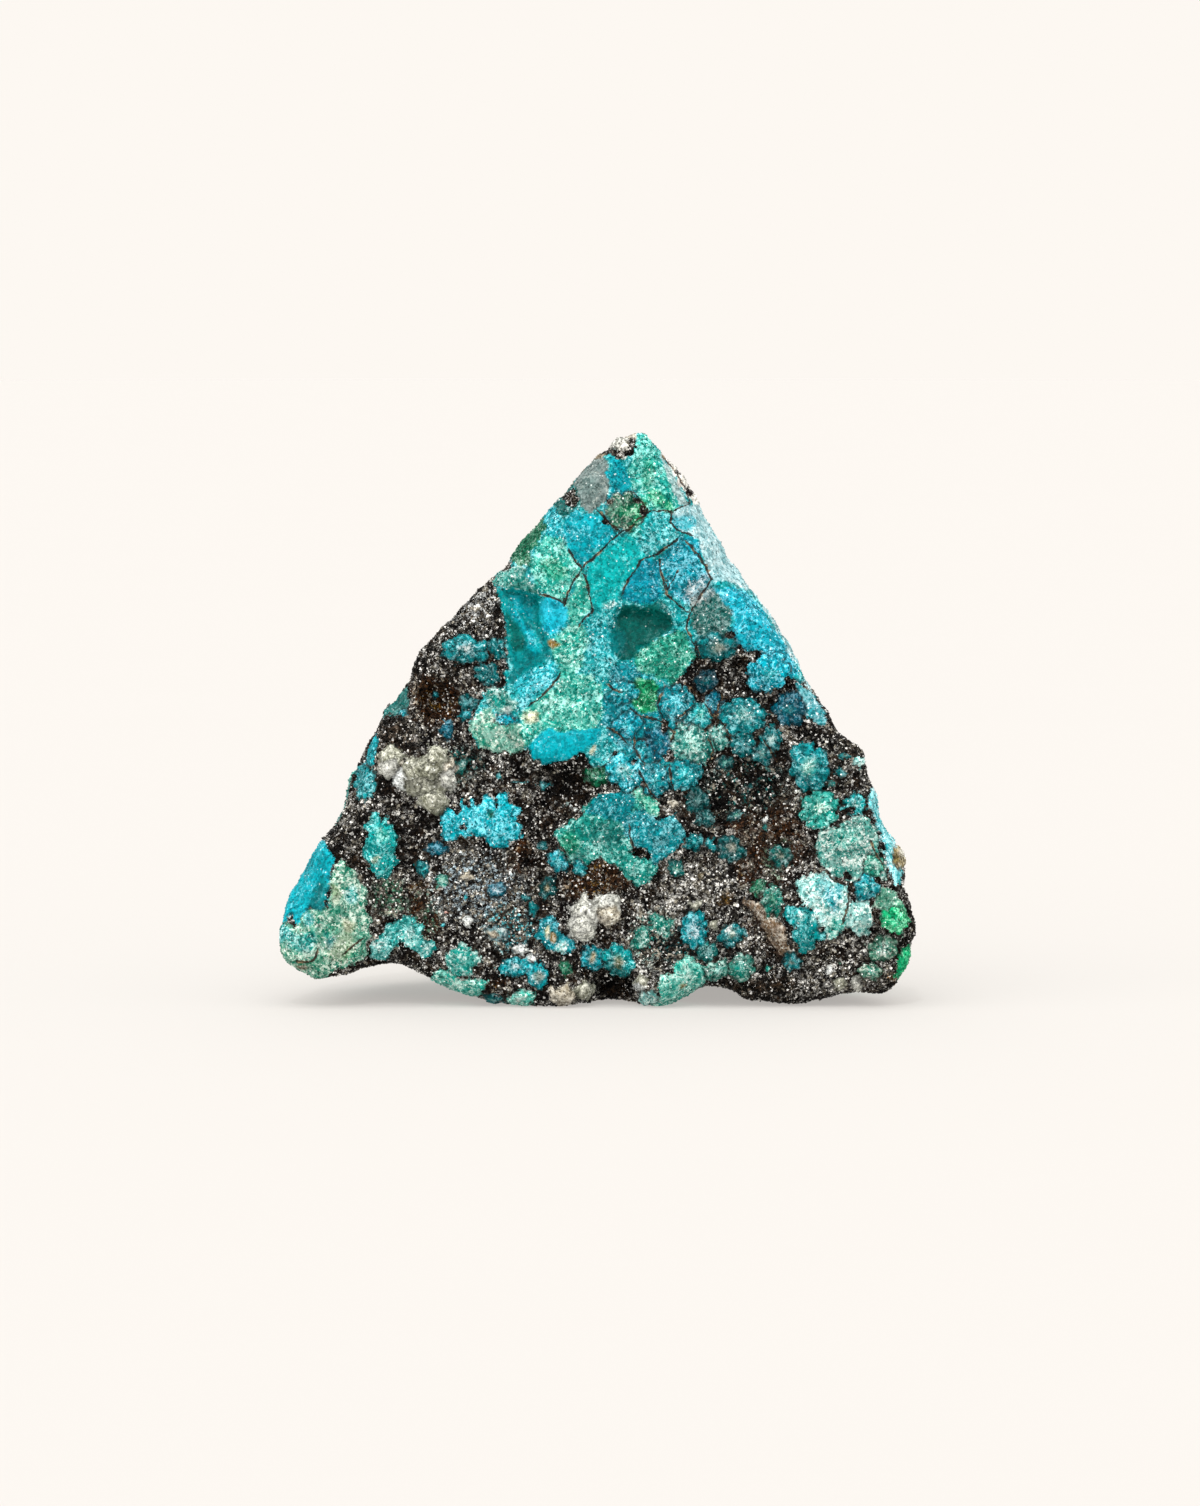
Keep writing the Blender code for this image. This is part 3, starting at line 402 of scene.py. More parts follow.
    ]),
}

# Round nodules and rosettes: x, h, half width, half height, colour, colour of the middle
NODULES = [
    (-13.2, 36.0, 2.0, 1.3, "teal", "chalcedony"), (-10.0, 36.2, 0.9, 1.1, "dim_teal", "teal"),
    (-10.9, 33.7, 1.1, 1.0, "dim_teal", "dim_teal"), (-12.9, 30.7, 1.0, 0.8, "dim_teal", "teal"),
    (-13.3, 29.5, 0.6, 0.5, "cluster_blue", "blue"), (-15.1, 28.1, 0.6, 1.1, "dim_blue", "dim_blue"),
    (-9.2, 29.1, 1.0, 0.55, "bright_blue", "bright_blue"), (2.8, 49.9, 1.9, 1.75, "grey_green", "green"),
    (11.9, 36.3, 1.9, 1.25, "dim_teal", "warm_grey"), (17.1, 33.7, 1.95, 1.8, "bright_blue", "turquoise"),
    (10.9, 32.9, 1.1, 1.1, "deep_blue", "dim_teal"), (7.9, 30.7, 1.8, 1.6, "blue", "pale_turquoise"),
    (10.1, 29.4, 1.4, 1.4, "turquoise", "mint"), (11.7, 30.6, 0.9, 1.1, "dim_blue", "blue"),
    (14.5, 29.4, 2.15, 1.8, "teal", "grey_mint"), (9.4, 26.6, 2.1, 2.2, "soft_mint", "mint_cyan"),
    (12.2, 27.2, 0.9, 1.2, "soft_mint", "soft_mint"), (14.5, 26.6, 1.2, 1.2, "dim_teal", "teal"),
    (17.4, 27.1, 1.0, 1.3, "dim_teal", "grey_mint"), (16.5, 25.6, 1.1, 1.1, "dim_teal", "grey_mint"),
    (19.2, 30.1, 1.4, 1.6, "dim_blue", "grey_teal"), (21.2, 24.3, 1.9, 2.1, "teal", "pale_mint"),
    (22.2, 20.1, 1.9, 1.7, "green_teal", "pale_mint"), (8.7, 23.6, 1.75, 1.55, "cluster_blue", "turquoise"),
    (5.9, 23.0, 1.3, 1.7, "blue", "turquoise"), (2.9, 23.8, 1.9, 1.8, "mid_turquoise", "pale_cyan"),
    (6.1, 26.7, 1.3, 1.3, "dim_blue", "blue"), (4.5, 26.0, 0.8, 0.9, "blue", "turquoise"),
    (3.0, 28.4, 1.3, 1.2, "bright_blue", "turquoise"), (2.6, 31.8, 1.3, 1.2, "blue", "turquoise"),
    (9.9, 21.1, 1.2, 1.2, "dull_teal", "grey_teal"), (10.8, 19.2, 1.0, 0.85, "dull_teal", "grey_teal"),
    (9.7, 16.8, 0.9, 0.8, "teal", "turquoise"), (11.4, 16.6, 0.6, 0.75, "teal", "turquoise"),
    (13.4, 16.1, 1.2, 1.3, "dull_teal", "warm_grey"), (7.9, 14.1, 0.8, 0.8, "grey_teal", "pale_mint"),
    (16.1, 12.3, 0.8, 0.8, "dim_green", "dim_green"), (17.5, 11.1, 1.05, 1.4, "dim_mint", "dim_green"),
    (-16.1, 16.1, 0.9, 0.6, "dim_blue", "dim_blue"), (-17.7, 14.4, 0.5, 0.5, "teal", "teal"),
    (-3.2, 4.2, 0.6, 0.8, "dim_green", "dim_green"), (-5.9, 3.5, 1.0, 1.2, "cluster_blue", "warm_grey"),
    (-8.2, 4.4, 1.6, 0.85, "cluster_blue", "chalcedony"), (-10.0, 7.6, 1.0, 0.8, "pepper", "pale_cyan"),
    (-10.1, 12.1, 0.9, 0.7, "dim_blue", "pepper"), (-3.9, 14.9, 0.9, 1.0, "blue", "turquoise"),
    (-1.8, 14.2, 0.8, 0.7, "teal", "turquoise"), (-5.0, 12.2, 0.9, 0.95, "dull_teal", "gold"),
    (-5.5, 16.4, 0.5, 0.5, "dim_teal", "teal"), (-7.1, 11.3, 0.5, 0.5, "dim_teal", "dim_teal"),
    (-6.5, 10.2, 0.4, 0.8, "dim_teal", "dim_teal"), (9.6, 8.1, 1.4, 1.6, "cluster_blue", "pepper"),
    (13.4, 7.5, 1.15, 1.15, "teal", "warm_grey"), (11.0, 5.9, 0.9, 1.0, "grey_teal", "grey_teal"),
    (2.1, 5.0, 1.4, 1.55, "rosette_teal", "gold"), (-0.5, 5.2, 1.1, 1.15, "blue", "orange"),
    (14.4, 4.3, 1.3, 1.2, "dim_mint", "soft_mint"), (12.0, 4.0, 1.2, 0.95, "dim_mint", "soft_mint"),
    (-7.6, 1.2, 1.3, 0.75, "mint_cyan", "white"), (-10.3, 1.0, 1.0, 0.5, "dim_teal", "dim_mint"),
    (19.4, 4.8, 1.0, 0.8, "teal", "warm_grey"), (26.8, 12.2, 1.15, 1.15, "cluster_blue", "grey_mint"),
    (27.6, 14.4, 0.9, 1.2, "mid_green", "grey_mint"), (29.6, 8.9, 1.3, 1.2, "malachite", "mint_green"),
    (28.5, 6.2, 1.5, 1.1, "grey_green", "grey_mint"), (27.2, 3.9, 1.15, 0.85, "grey_green", "grey_mint"),
    (26.2, 24.7, 0.6, 0.45, "pale_cyan", "pale_cyan"), (25.8, 20.5, 1.1, 1.0, "rosette_teal", "grey_mint"),
    (5.1, 1.2, 0.8, 0.8, "pale_cyan", "pale_cyan"), (18.3, 15.4, 1.1, 1.0, "lobe_teal", "warm_grey"),
    (13.8, 19.4, 0.8, 0.6, "dull_teal", "dim_green"), (12.8, 24.6, 0.8, 0.6, "dull_teal", "mint"),
    (-6.3, 23.2, 0.4, 0.3, "matrix", "matrix"), (-5.4, 22.6, 0.6, 0.35, "teal", "aqua"),
    (-7.6, 22.8, 0.7, 0.15, "dim_teal", "dim_teal"), (-15.4, 13.0, 0.6, 0.7, "lace_green", "dim_green"),
    (-13.5, 24.4, 0.5, 0.9, "lobe_teal", "grey_mint"), (24.3, 23.7, 0.4, 0.4, "dim_teal", "dim_teal"),
    (23.5, 22.7, 0.5, 0.25, "grey_teal", "grey_teal"), (24.7, 25.4, 0.5, 0.3, "dim_teal", "warm_grey"),
    (17.1, 4.3, 0.35, 0.2, "mint", "mint"), (-17.4, 14.1, 0.6, 0.6, "teal", "aqua"),
    (8.4, 19.6, 0.4, 0.4, "matrix", "matrix"), (-23.3, 22.7, 0.95, 1.7, "teal", "teal"),
    (-19.6, 29.7, 0.5, 0.4, "blue", "blue"), (0.0, 23.4, 1.4, 0.9, "olive", "pale_green"),
    (30.6, 15.6, 0.9, 1.3, "beige", "white"),
]

# Quartz lumps: x, h, half width, half height, colour
QUARTZ = [
    (-20.6, 25.3, 1.0, 0.9, "grey_quartz"), (-20.9, 24.1, 0.9, 0.7, "quartz_white"),
    (-19.5, 22.9, 0.8, 0.8, "white"), (-18.2, 24.2, 1.0, 0.9, "grey_quartz"),
    (-16.0, 25.2, 1.0, 1.0, "grey_quartz"), (-16.6, 23.9, 0.9, 0.8, "grey_quartz"),
    (-14.6, 24.3, 0.6, 0.6, "quartz_cream"), (-14.8, 22.9, 0.7, 0.9, "quartz_white"),
    (-18.2, 22.3, 0.9, 0.8, "grey_quartz"), (-16.3, 20.9, 1.1, 1.0, "grey_quartz"),
    (-17.0, 22.3, 0.8, 0.8, "grey_quartz"), (-1.5, 9.9, 1.2, 0.9, "quartz_white"),
    (-1.6, 8.2, 1.1, 1.2, "quartz_white"), (0.9, 10.6, 1.2, 0.9, "quartz_white"),
    (1.2, 9.4, 0.9, 0.8, "quartz_cream"), (2.1, 56.8, 0.9, 0.7, "quartz_white"),
    (2.7, 55.9, 0.6, 0.6, "side_white"), (-3.2, 1.5, 0.9, 0.8, "quartz_cream"),
    (-1.3, 1.9, 0.8, 0.8, "grey_quartz"), (4.4, 2.9, 0.5, 0.5, "grey_quartz"),
    (25.9, 2.6, 0.5, 0.5, "quartz_white"), (24.2, 2.5, 0.5, 0.45, "grey_quartz"),
    (-7.8, 6.1, 0.6, 0.4, "white"), (-6.6, 5.3, 0.5, 0.25, "white"), (-2.6, 20.2, 0.25, 0.25, "white"),
    (-3.7, 20.9, 0.2, 0.2, "white"), (-3.2, 20.5, 0.2, 0.15, "chalcedony"), (-2.1, 19.8, 0.2, 0.15, "white"),
    (7.5, 20.6, 0.35, 0.4, "quartz_cream"), (11.5, 8.5, 0.4, 0.4, "grey_quartz"),
    (9.8, 10.6, 0.45, 0.45, "grey_quartz"), (13.1, 8.1, 0.2, 0.3, "white"), (17.0, 19.1, 0.3, 0.2, "white"),
    (-12.9, 13.3, 0.5, 0.35, "quartz_cream"), (-10.5, 7.4, 0.5, 0.3, "quartz_cream"),
    (4.2, 2.4, 0.4, 0.4, "white"), (23.2, 4.0, 0.3, 0.35, "white"),
]

# Soft patches of another colour inside the crusts: x, h, half width, half height, colour, strength
STAINS = [
    (-26.6, 6.9, 0.5, 0.6, "blue", 0.7), (-31.2, 7.8, 0.9, 0.9, "pale_turquoise", 0.5),
    (-24.4, 11.5, 1.0, 1.0, "pale_turquoise", 0.4), (-26.3, 11.3, 0.8, 1.2, "cream", 0.35),
    (-25.0, 8.3, 0.8, 0.6, "cream", 0.5), (6.8, 40.5, 0.8, 0.7, "grey_teal", 0.8),
    (-29.0, 4.9, 0.9, 0.4, "olive", 0.6), (-28.6, 9.2, 0.6, 0.5, "pale_turquoise", 0.5),
    (1.4, 40.6, 0.8, 0.5, "pale_cyan", 0.6), (4.4, 41.6, 1.2, 0.8, "cyan", 0.6),
    (23.6, 11.0, 0.7, 1.2, "cyan", 0.7), (24.6, 11.9, 0.5, 0.8, "cyan", 0.6),
    (23.6, 8.4, 1.0, 1.0, "mint", 0.7), (26.4, 8.4, 0.9, 0.7, "grey_mint", 0.7),
    (29.6, 9.0, 1.5, 1.2, "malachite", 0.8), (21.2, 8.9, 0.5, 0.6, "pale_cyan", 0.6),
    (30.2, 10.2, 0.9, 1.2, "malachite", 0.4), (3.9, 50.6, 0.9, 0.9, "green", 0.6),
    (-28.0, 4.8, 1.6, 0.8, "olive", 0.35), (-26.5, 5.2, 1.0, 0.5, "olive", 0.4),
    (-29.3, 4.3, 0.8, 0.4, "rust", 0.7), (-5.0, 7.7, 0.3, 0.8, "cream", 0.8),
    (-4.4, 7.2, 0.4, 0.4, "orange", 0.7), (-3.4, 6.3, 0.7, 0.6, "pale_cyan", 0.8),
    (8.5, 3.1, 0.3, 0.3, "gold", 0.8), (-7.1, 29.3, 0.8, 0.5, "cream", 0.7),
    (-8.9, 30.0, 0.5, 0.5, "white", 0.6), (-0.6, 26.3, 0.4, 0.5, "cream", 0.8),
    (1.0, 17.6, 1.6, 1.6, "grey_teal", 0.6), (0.4, 16.4, 1.0, 0.9, "green_teal", 0.6),
    (2.2, 36.6, 1.0, 1.4, "teal", 0.45), (-18.9, 7.7, 1.0, 0.8, "pale_cyan", 0.6),
    (-17.2, 6.2, 0.7, 0.5, "pale_cyan", 0.6), (-21.8, 6.6, 0.9, 0.7, "pale_cyan", 0.6),
    (-22.0, 15.2, 0.6, 0.6, "cream", 0.5), (-21.9, 17.8, 0.7, 1.0, "mint", 0.6),
    (20.0, 8.9, 0.5, 0.6, "pale_cyan", 0.5), (5.8, 51.0, 1.1, 1.1, "malachite", 0.7),
    (7.2, 50.4, 0.7, 0.6, "malachite", 0.8), (5.2, 53.5, 1.0, 1.8, "green", 0.4),
    (8.4, 48.9, 1.1, 1.0, "cyan", 0.8), (10.2, 42.0, 1.4, 1.3, "stain_grey", 0.75),
    (-4.5, 36.3, 0.5, 0.5, "orange", 0.8), (-6.7, 29.2, 0.8, 0.6, "cream", 0.6),
    (-0.5, 31.8, 1.4, 1.6, "mint_green", 0.7), (-4.6, 44.0, 1.4, 1.2, "green", 0.5),
    (-10.3, 19.4, 0.5, 0.5, "olive", 0.8), (-6.0, 38.6, 0.7, 3.5, "aqua", 0.5),
    (-7.0, 41.0, 1.2, 1.0, "deep_teal", 0.5), (-27.6, 11.4, 0.8, 1.6, "teal", 0.9),
    (-29.5, 7.0, 1.6, 1.2, "turquoise", 0.5), (-25.5, 6.5, 1.5, 1.5, "cream", 0.3),
    (3.6, 48.0, 0.7, 1.2, "malachite", 0.3), (4.0, 49.9, 0.7, 1.2, "malachite", 0.6),
    (0.4, 37.0, 1.6, 2.5, "cyan", 0.3), (-21.8, 32.0, 1.0, 0.6, "rust", 0.6),
    (22.5, 12.0, 1.0, 1.2, "cyan", 0.3), (24.9, 17.0, 1.0, 1.0, "mint", 0.5),
    (-3.0, 16.8, 1.2, 1.0, "green", 0.5),
]

# Zones of the matrix: x, h, half width, half height, colour, colour of its specks, how many specks
ZONES = [
    (15.4, 17.8, 0.9, 2.0, "rust", "orange", 0.55), (14.2, 14.0, 0.8, 2.0, "rust", "gold", 0.6),
    (-17.8, 12.4, 1.2, 0.7, "rust", "gold", 0.6), (-10.4, 2.4, 1.6, 0.8, "rust", "gold", 0.55),
    (20.5, 6.0, 1.6, 1.2, "matrix", "warm_grey", 0.7), (-24.5, 20.5, 2.0, 3.0, "matrix", "side_white", 0.55),
    (12.6, 20.5, 3.0, 2.4, "black", "warm_grey", 0.3), (2.0, 13.4, 2.2, 1.4, "rust", "tan", 0.3),
    (-16.2, 31.0, 2.8, 2.5, "rust", "gold", 0.25), (16.9, 17.0, 4.0, 4.5, "rust", "tan", 0.45),
    (12.7, 11.4, 1.0, 0.9, "gold", "orange", 0.5), (-17.5, 9.5, 1.8, 3.0, "rust", "speck_green", 0.5),
    (-7.3, 15.0, 1.3, 2.2, "rust", "gold", 0.35), (-0.8, 13.0, 2.8, 2.2, "rust", "gold", 0.35),
    (8.8, 12.3, 4.0, 3.2, "matrix", "side_white", 0.75), (5.0, 4.0, 1.6, 1.8, "matrix", "side_white", 0.7),
    (25.0, 3.8, 5.5, 2.8, "matrix", "side_white", 0.6), (-3.4, 21.8, 2.8, 2.8, "black", "tan", 0.15),
    (-12.5, 40.5, 3.2, 3.2, "matrix", "white", 0.7), (-6.8, 14.7, 0.7, 1.1, "black", "tan", 0.0),
    (1.7, 2.4, 2.1, 2.0, "black", "tan", 0.1), (-12.0, 12.2, 5.4, 4.0, "matrix", "frost_blue", 0.85),
    (-8.5, 8.2, 3.4, 2.4, "matrix", "light_cyan", 0.8), (-13.5, 24.5, 2.2, 2.6, "matrix", "teal_speck", 0.75),
    (5.6, 7.4, 2.5, 3.0, "matrix", "green_teal", 0.8), (-20.9, 11.5, 2.5, 2.3, "matrix", "speck_green", 0.9),
    (17.9, 15.2, 1.4, 1.9, "matrix", "speck_green", 0.6), (17.6, 8.2, 1.0, 3.2, "tan", "side_white", 0.35),
    (29.2, 3.0, 1.0, 0.7, "gold", "orange", 0.5), (15.2, 8.0, 0.9, 1.8, "rust", "side_white", 0.8),
    (16.0, 2.0, 4.5, 1.5, "matrix", "tan", 0.3), (15.0, 22.5, 5.0, 3.5, "black", "grey_teal", 0.4),
    (-8.5, 22.0, 2.2, 2.6, "matrix", "side_white", 0.45), (9.7, 51.0, 0.8, 0.9, "matrix", "tan", 0.3),
    (8.5, 6.0, 3.0, 2.0, "matrix", "dull_teal", 0.7), (-20.5, 27.5, 2.4, 2.4, "grey_matrix", "tan", 0.4),
]

# Dark gaps in the crusts, where the matrix shows: x, h, half width, half height
HOLES = [
    (2.4, 55.7, 1.5, 0.4), (0.7, 56.3, 0.7, 0.5), (3.6, 56.6, 0.35, 0.8), (-2.6, 51.2, 0.7, 0.8),
    (-9.4, 44.6, 0.8, 0.6), (1.1, 50.9, 0.35, 0.5), (4.6, 50.0, 0.45, 0.4), (-10.6, 42.2, 0.9, 0.5),
    (4.2, 15.7, 0.8, 0.4), (3.9, 50.9, 0.4, 0.35), (0.9, 49.0, 0.35, 0.5), (-10.0, 20.4, 0.25, 0.6),
    (-13.0, 20.9, 0.3, 0.5), (-13.5, 18.2, 0.35, 0.25), (9.4, 52.2, 0.5, 0.7), (8.2, 54.0, 0.35, 0.4),
    (13.0, 33.8, 0.5, 0.4), (6.7, 28.3, 0.35, 0.6), (3.6, 25.0, 0.3, 0.4), (7.2, 25.4, 0.4, 0.5),
    (1.6, 25.6, 0.3, 0.3), (11.2, 25.0, 0.5, 0.4), (9.5, 32.4, 0.4, 0.4), (4.6, 22.6, 0.3, 0.4),
    (20.9, 16.0, 0.7, 0.9), (25.2, 20.0, 0.6, 0.4), (27.9, 12.9, 0.35, 0.3), (24.9, 13.4, 0.4, 0.3),
]

# Sprays of pale needles inside the crusts: x, h, radius
SPRAYS = [
    (-14.1, 18.5, 1.7), (-12.4, 20.0, 1.6), (-9.8, 19.8, 1.9), (-9.4, 17.6, 1.5), (-22.0, 18.3, 1.7),
    (-21.6, 15.4, 1.7), (-21.2, 6.6, 1.4), (-18.9, 8.0, 1.5), (-16.8, 6.2, 1.2), (-14.0, 2.6, 1.5),
    (5.9, 47.9, 2.0), (8.7, 44.4, 2.4), (-4.4, 44.6, 2.2), (14.8, 39.8, 2.0), (17.6, 36.2, 1.6),
    (11.4, 39.7, 1.9), (-6.0, 32.6, 1.4), (-2.6, 30.6, 2.2), (-5.3, 29.0, 1.8), (-9.9, 27.8, 2.0),
    (6.6, 35.2, 1.8), (5.0, 31.4, 1.6), (1.0, 24.4, 1.6), (7.0, 17.4, 1.7), (4.4, 18.2, 1.4),
    (24.3, 17.0, 1.9), (26.9, 15.6, 1.6), (22.4, 11.2, 2.0), (23.6, 9.4, 1.6), (20.6, 8.0, 1.7),
    (8.6, 3.4, 1.8), (11.8, 3.9, 1.4), (-25.3, 11.0, 2.2), (-25.8, 6.6, 2.4), (-29.4, 5.4, 2.2),
    (6.2, 53.6, 1.6), (4.8, 55.8, 1.2), (1.6, 34.8, 1.6), (-1.0, 36.2, 1.6), (2.9, 26.6, 1.4),
]

# Areas with small nodules strewn over them: x, h, half width, half height, how many, colours
CRUMBS = [
    (-11.5, 11.5, 4.5, 3.0, 36, ("pink", "pepper", "light_cyan", "white", "blue")),
    (-3.0, 12.5, 3.0, 2.0, 9, ("gold", "blue", "warm_grey")),
    (27.0, 3.5, 3.0, 1.5, 8, ("warm_grey", "grey_green", "side_white")),
    (9.5, 11.0, 4.0, 3.0, 16, ("warm_grey", "side_white", "grey_teal")),
    (-10.0, 9.5, 6.0, 5.0, 40, ("blue", "teal", "pale_turquoise", "pepper")),
    (2.0, 9.0, 5.0, 4.0, 16, ("teal", "grey_teal", "turquoise")),
    (12.5, 7.0, 6.0, 4.5, 34, ("teal", "turquoise", "green_teal")),
    (14.0, 15.0, 5.0, 4.5, 12, ("dull_teal", "grey_teal", "warm_grey")),
    (14.0, 23.0, 5.0, 3.5, 16, ("dull_teal", "teal", "grey_teal")),
    (-14.0, 32.0, 4.0, 4.0, 12, ("teal", "blue", "dull_teal")),
    (-15.0, 26.5, 3.5, 3.0, 10, ("dull_teal", "teal", "blue")),
    (-4.0, 4.0, 5.0, 3.0, 16, ("blue", "teal", "turquoise")),
    (-8.0, 23.0, 4.0, 2.5, 8, ("dull_teal", "teal", "turquoise")),
    (26.0, 6.5, 3.5, 4.5, 12, ("grey_green", "mint", "green_teal")),
]

# Cracks, by their corners
CRACKS = [
    [(-29.9, 5.0), (-28.8, 4.8), (-28.1, 5.3), (-27.9, 6.2)], [(-23.4, 7.2), (-24.3, 6.6), (-25.2, 5.6)],
    [(-2.8, 46.0), (-2.2, 45.0), (-1.5, 44.1), (-1.0, 44.9), (0.1, 45.7), (1.5, 47.1), (2.3, 47.8)],
    [(-0.1, 50.0), (0.7, 49.3), (1.5, 48.4), (2.3, 47.9), (3.1, 47.9), (4.0, 48.8), (5.0, 49.8), (6.4, 49.9),
     (7.3, 49.8), (8.1, 50.3), (8.9, 50.6)],
    [(3.9, 51.6), (4.6, 50.6), (5.1, 49.9)],
    [(7.4, 49.8), (7.3, 48.7), (8.2, 47.9), (9.4, 47.5)],
    [(8.0, 47.1), (7.0, 46.4), (5.9, 45.7), (5.2, 45.2), (4.3, 45.0), (3.8, 44.0), (3.2, 43.2), (2.5, 41.7)],
    [(6.1, 45.0), (6.3, 44.0), (6.8, 42.3), (6.7, 41.6), (7.6, 41.0), (8.6, 40.2), (9.2, 39.6), (8.9, 38.0),
     (9.5, 36.9), (10.3, 35.6)],
    [(8.0, 43.8), (7.6, 43.0), (6.9, 42.0)],
    [(8.9, 46.8), (9.8, 45.7), (10.9, 44.4), (11.4, 42.9), (9.2, 39.6)],
    [(-1.5, 44.0), (-2.3, 42.9), (-3.0, 41.7), (-3.2, 40.5)],
    [(-1.3, 43.6), (-0.9, 42.0), (-0.8, 41.0), (-0.5, 39.9), (-1.2, 39.3), (-1.8, 38.5)],
    [(-5.7, 41.6), (-4.7, 41.3), (-3.9, 41.1), (-3.2, 40.6)],
    [(9.3, 32.2), (10.3, 31.3), (11.0, 30.3), (11.8, 29.3), (12.6, 28.5), (13.4, 27.4)],
    [(10.3, 31.3), (11.5, 32.0)],
    [(12.6, 31.4), (12.2, 30.4), (11.8, 29.2), (11.3, 28.4), (10.7, 27.8)],
    [(3.9, 29.6), (4.8, 29.2), (6.0, 29.0), (7.0, 28.3), (7.8, 27.8), (7.4, 27.0)],
    [(6.0, 30.0), (6.2, 30.8), (6.5, 31.8)],
    [(8.3, 29.4), (8.9, 29.8), (9.2, 30.2)],
    [(16.6, 27.1), (17.4, 25.9), (17.9, 25.0)],
    [(11.1, 27.0), (11.5, 26.0), (11.4, 25.0)],
    [(1.1, 28.1), (2.1, 27.6), (2.9, 26.6)],
    [(3.7, 27.0), (3.7, 26.1), (4.3, 25.2)],
    [(1.0, 32.6), (1.5, 32.1), (2.3, 31.8)],
    [(-6.8, 30.5), (-5.6, 31.3), (-4.7, 32.3), (-4.2, 33.0), (-3.7, 33.7)],
    [(7.3, 24.2), (7.4, 23.1), (7.6, 22.4)],
    [(4.2, 24.0), (4.7, 22.9), (5.2, 22.1), (5.7, 21.4)],
    [(3.1, 18.4), (3.4, 17.2), (3.5, 16.4)],
    [(6.3, 55.9), (7.2, 54.7), (8.0, 53.6), (8.9, 52.2), (9.2, 51.0)],
    [(14.9, 10.6), (15.9, 9.0), (16.7, 7.7), (17.3, 6.6), (18.2, 5.4)],
    [(27.2, 16.9), (27.9, 15.6), (28.6, 13.9)],
    [(22.8, 13.9), (23.6, 13.0), (24.8, 12.6)],
    [(24.4, 8.9), (24.9, 10.1), (25.0, 11.6)],
]


def linear(colour):
    """A colour from 0 to 255 as the shader's numbers."""
    part = np.array(colour) / 255
    return np.where(part <= 0.04045, part / 12.92, ((part + 0.055) / 1.055) ** 2.4)


PALETTE = {name: linear(colour) for name, colour in COLOURS.items()}


def smooth_step(low, high, value):
    t = np.clip((value - low) / (high - low), 0.0, 1.0)
    return t * t * (3.0 - 2.0 * t)


def line_distance(x, h, points, closed=False):
    """How far each (x, h) is from the line through the points, and on which side of it, as 1 or -1."""
    ends = points[1:] + points[:1] if closed else points[1:]
    best = np.full(x.shape, np.inf)
    side = np.ones(x.shape)
    for (ax, ah), (bx, bh) in zip(points, ends):
        run_x, run_h = bx - ax, bh - ah
        along = np.clip(((x - ax) * run_x + (h - ah) * run_h) / (run_x**2 + run_h**2), 0.0, 1.0)
        out = np.hypot(x - ax - along * run_x, h - ah - along * run_h)
        side = np.where(out < best, np.sign((x - ax) * run_h - (h - ah) * run_x), side)
        best = np.minimum(best, out)
    return best, side


def inside(x, h, points):
    """Whether each (x, h) is inside the closed outline, by counting the sides to its right."""
    crossings = np.zeros(x.shape, int)
    for (ax, ah), (bx, bh) in zip(points, points[1:] + points[:1]):
        spans = (ah > h) != (bh > h)
        rise = bh - ah if bh != ah else 1.0
        crossings += spans & (x < ax + (h - ah) * (bx - ax) / rise)
    return crossings % 2 == 1


def new_object(name, data):
    obj = bpy.data.objects.new(name, data)
    bpy.context.scene.collection.objects.link(obj)
    return obj


def evaluated_mesh(obj):
    graph = bpy.context.evaluated_depsgraph_get()
    mesh = bpy.data.meshes.new_from_object(obj.evaluated_get(graph))
    bpy.data.objects.remove(obj)
    return mesh


def points_of(mesh):
    points = np.empty(len(mesh.vertices) * 3)
    mesh.vertices.foreach_get("co", points)
    return points.reshape(-1, 3) / MM


def normals_of(mesh):
    normals = np.empty(len(mesh.vertices) * 3)
    mesh.vertices.foreach_get("normal", normals)
    return normals.reshape(-1, 3)


def set_points(mesh, points):
    mesh.vertices.foreach_set("co", (points * MM).ravel())
    mesh.update()


def face_places(points):
    """x, h and depth of points on the stone, as the viewer sees them."""
    low = cad_box[0] / MM
    y = points[:, 1] - (low.y + FOOT_BEHIND_FRONT)
    z = points[:, 2] + SETTLE
    sin, cos = math.sin(VIEW_TILT), math.cos(VIEW_TILT)
    return points[:, 0] - FACE_SHIFT_X, y * sin + z * cos, y * cos - z * sin


def facing_of(normals):
    return -normals[:, 1] * math.cos(VIEW_TILT) + normals[:, 2] * math.sin(VIEW_TILT)


def dense_skin(node):
    """A fine, even mesh of the node's shape. It is as fine as SKIN_VOXEL in front and coarser behind."""
    mesh = node.data.copy()
    body = bmesh.new()
    body.from_mesh(mesh)
    bmesh.ops.remove_doubles(body, verts=body.verts, dist=1e-6)
    body.to_mesh(mesh)
    body.free()
    turn = Matrix.Rotation(GRID_TURN, 4, "Z")
    mesh.transform(turn)
    obj = new_object("grid", mesh)
    remesh = obj.modifiers.new("even", "REMESH")
    remesh.mode = "VOXEL"
    remesh.voxel_size = SKIN_VOXEL * MM
    mesh = evaluated_mesh(obj)
    mesh.transform(turn.inverted())
    return coarser_behind(mesh)


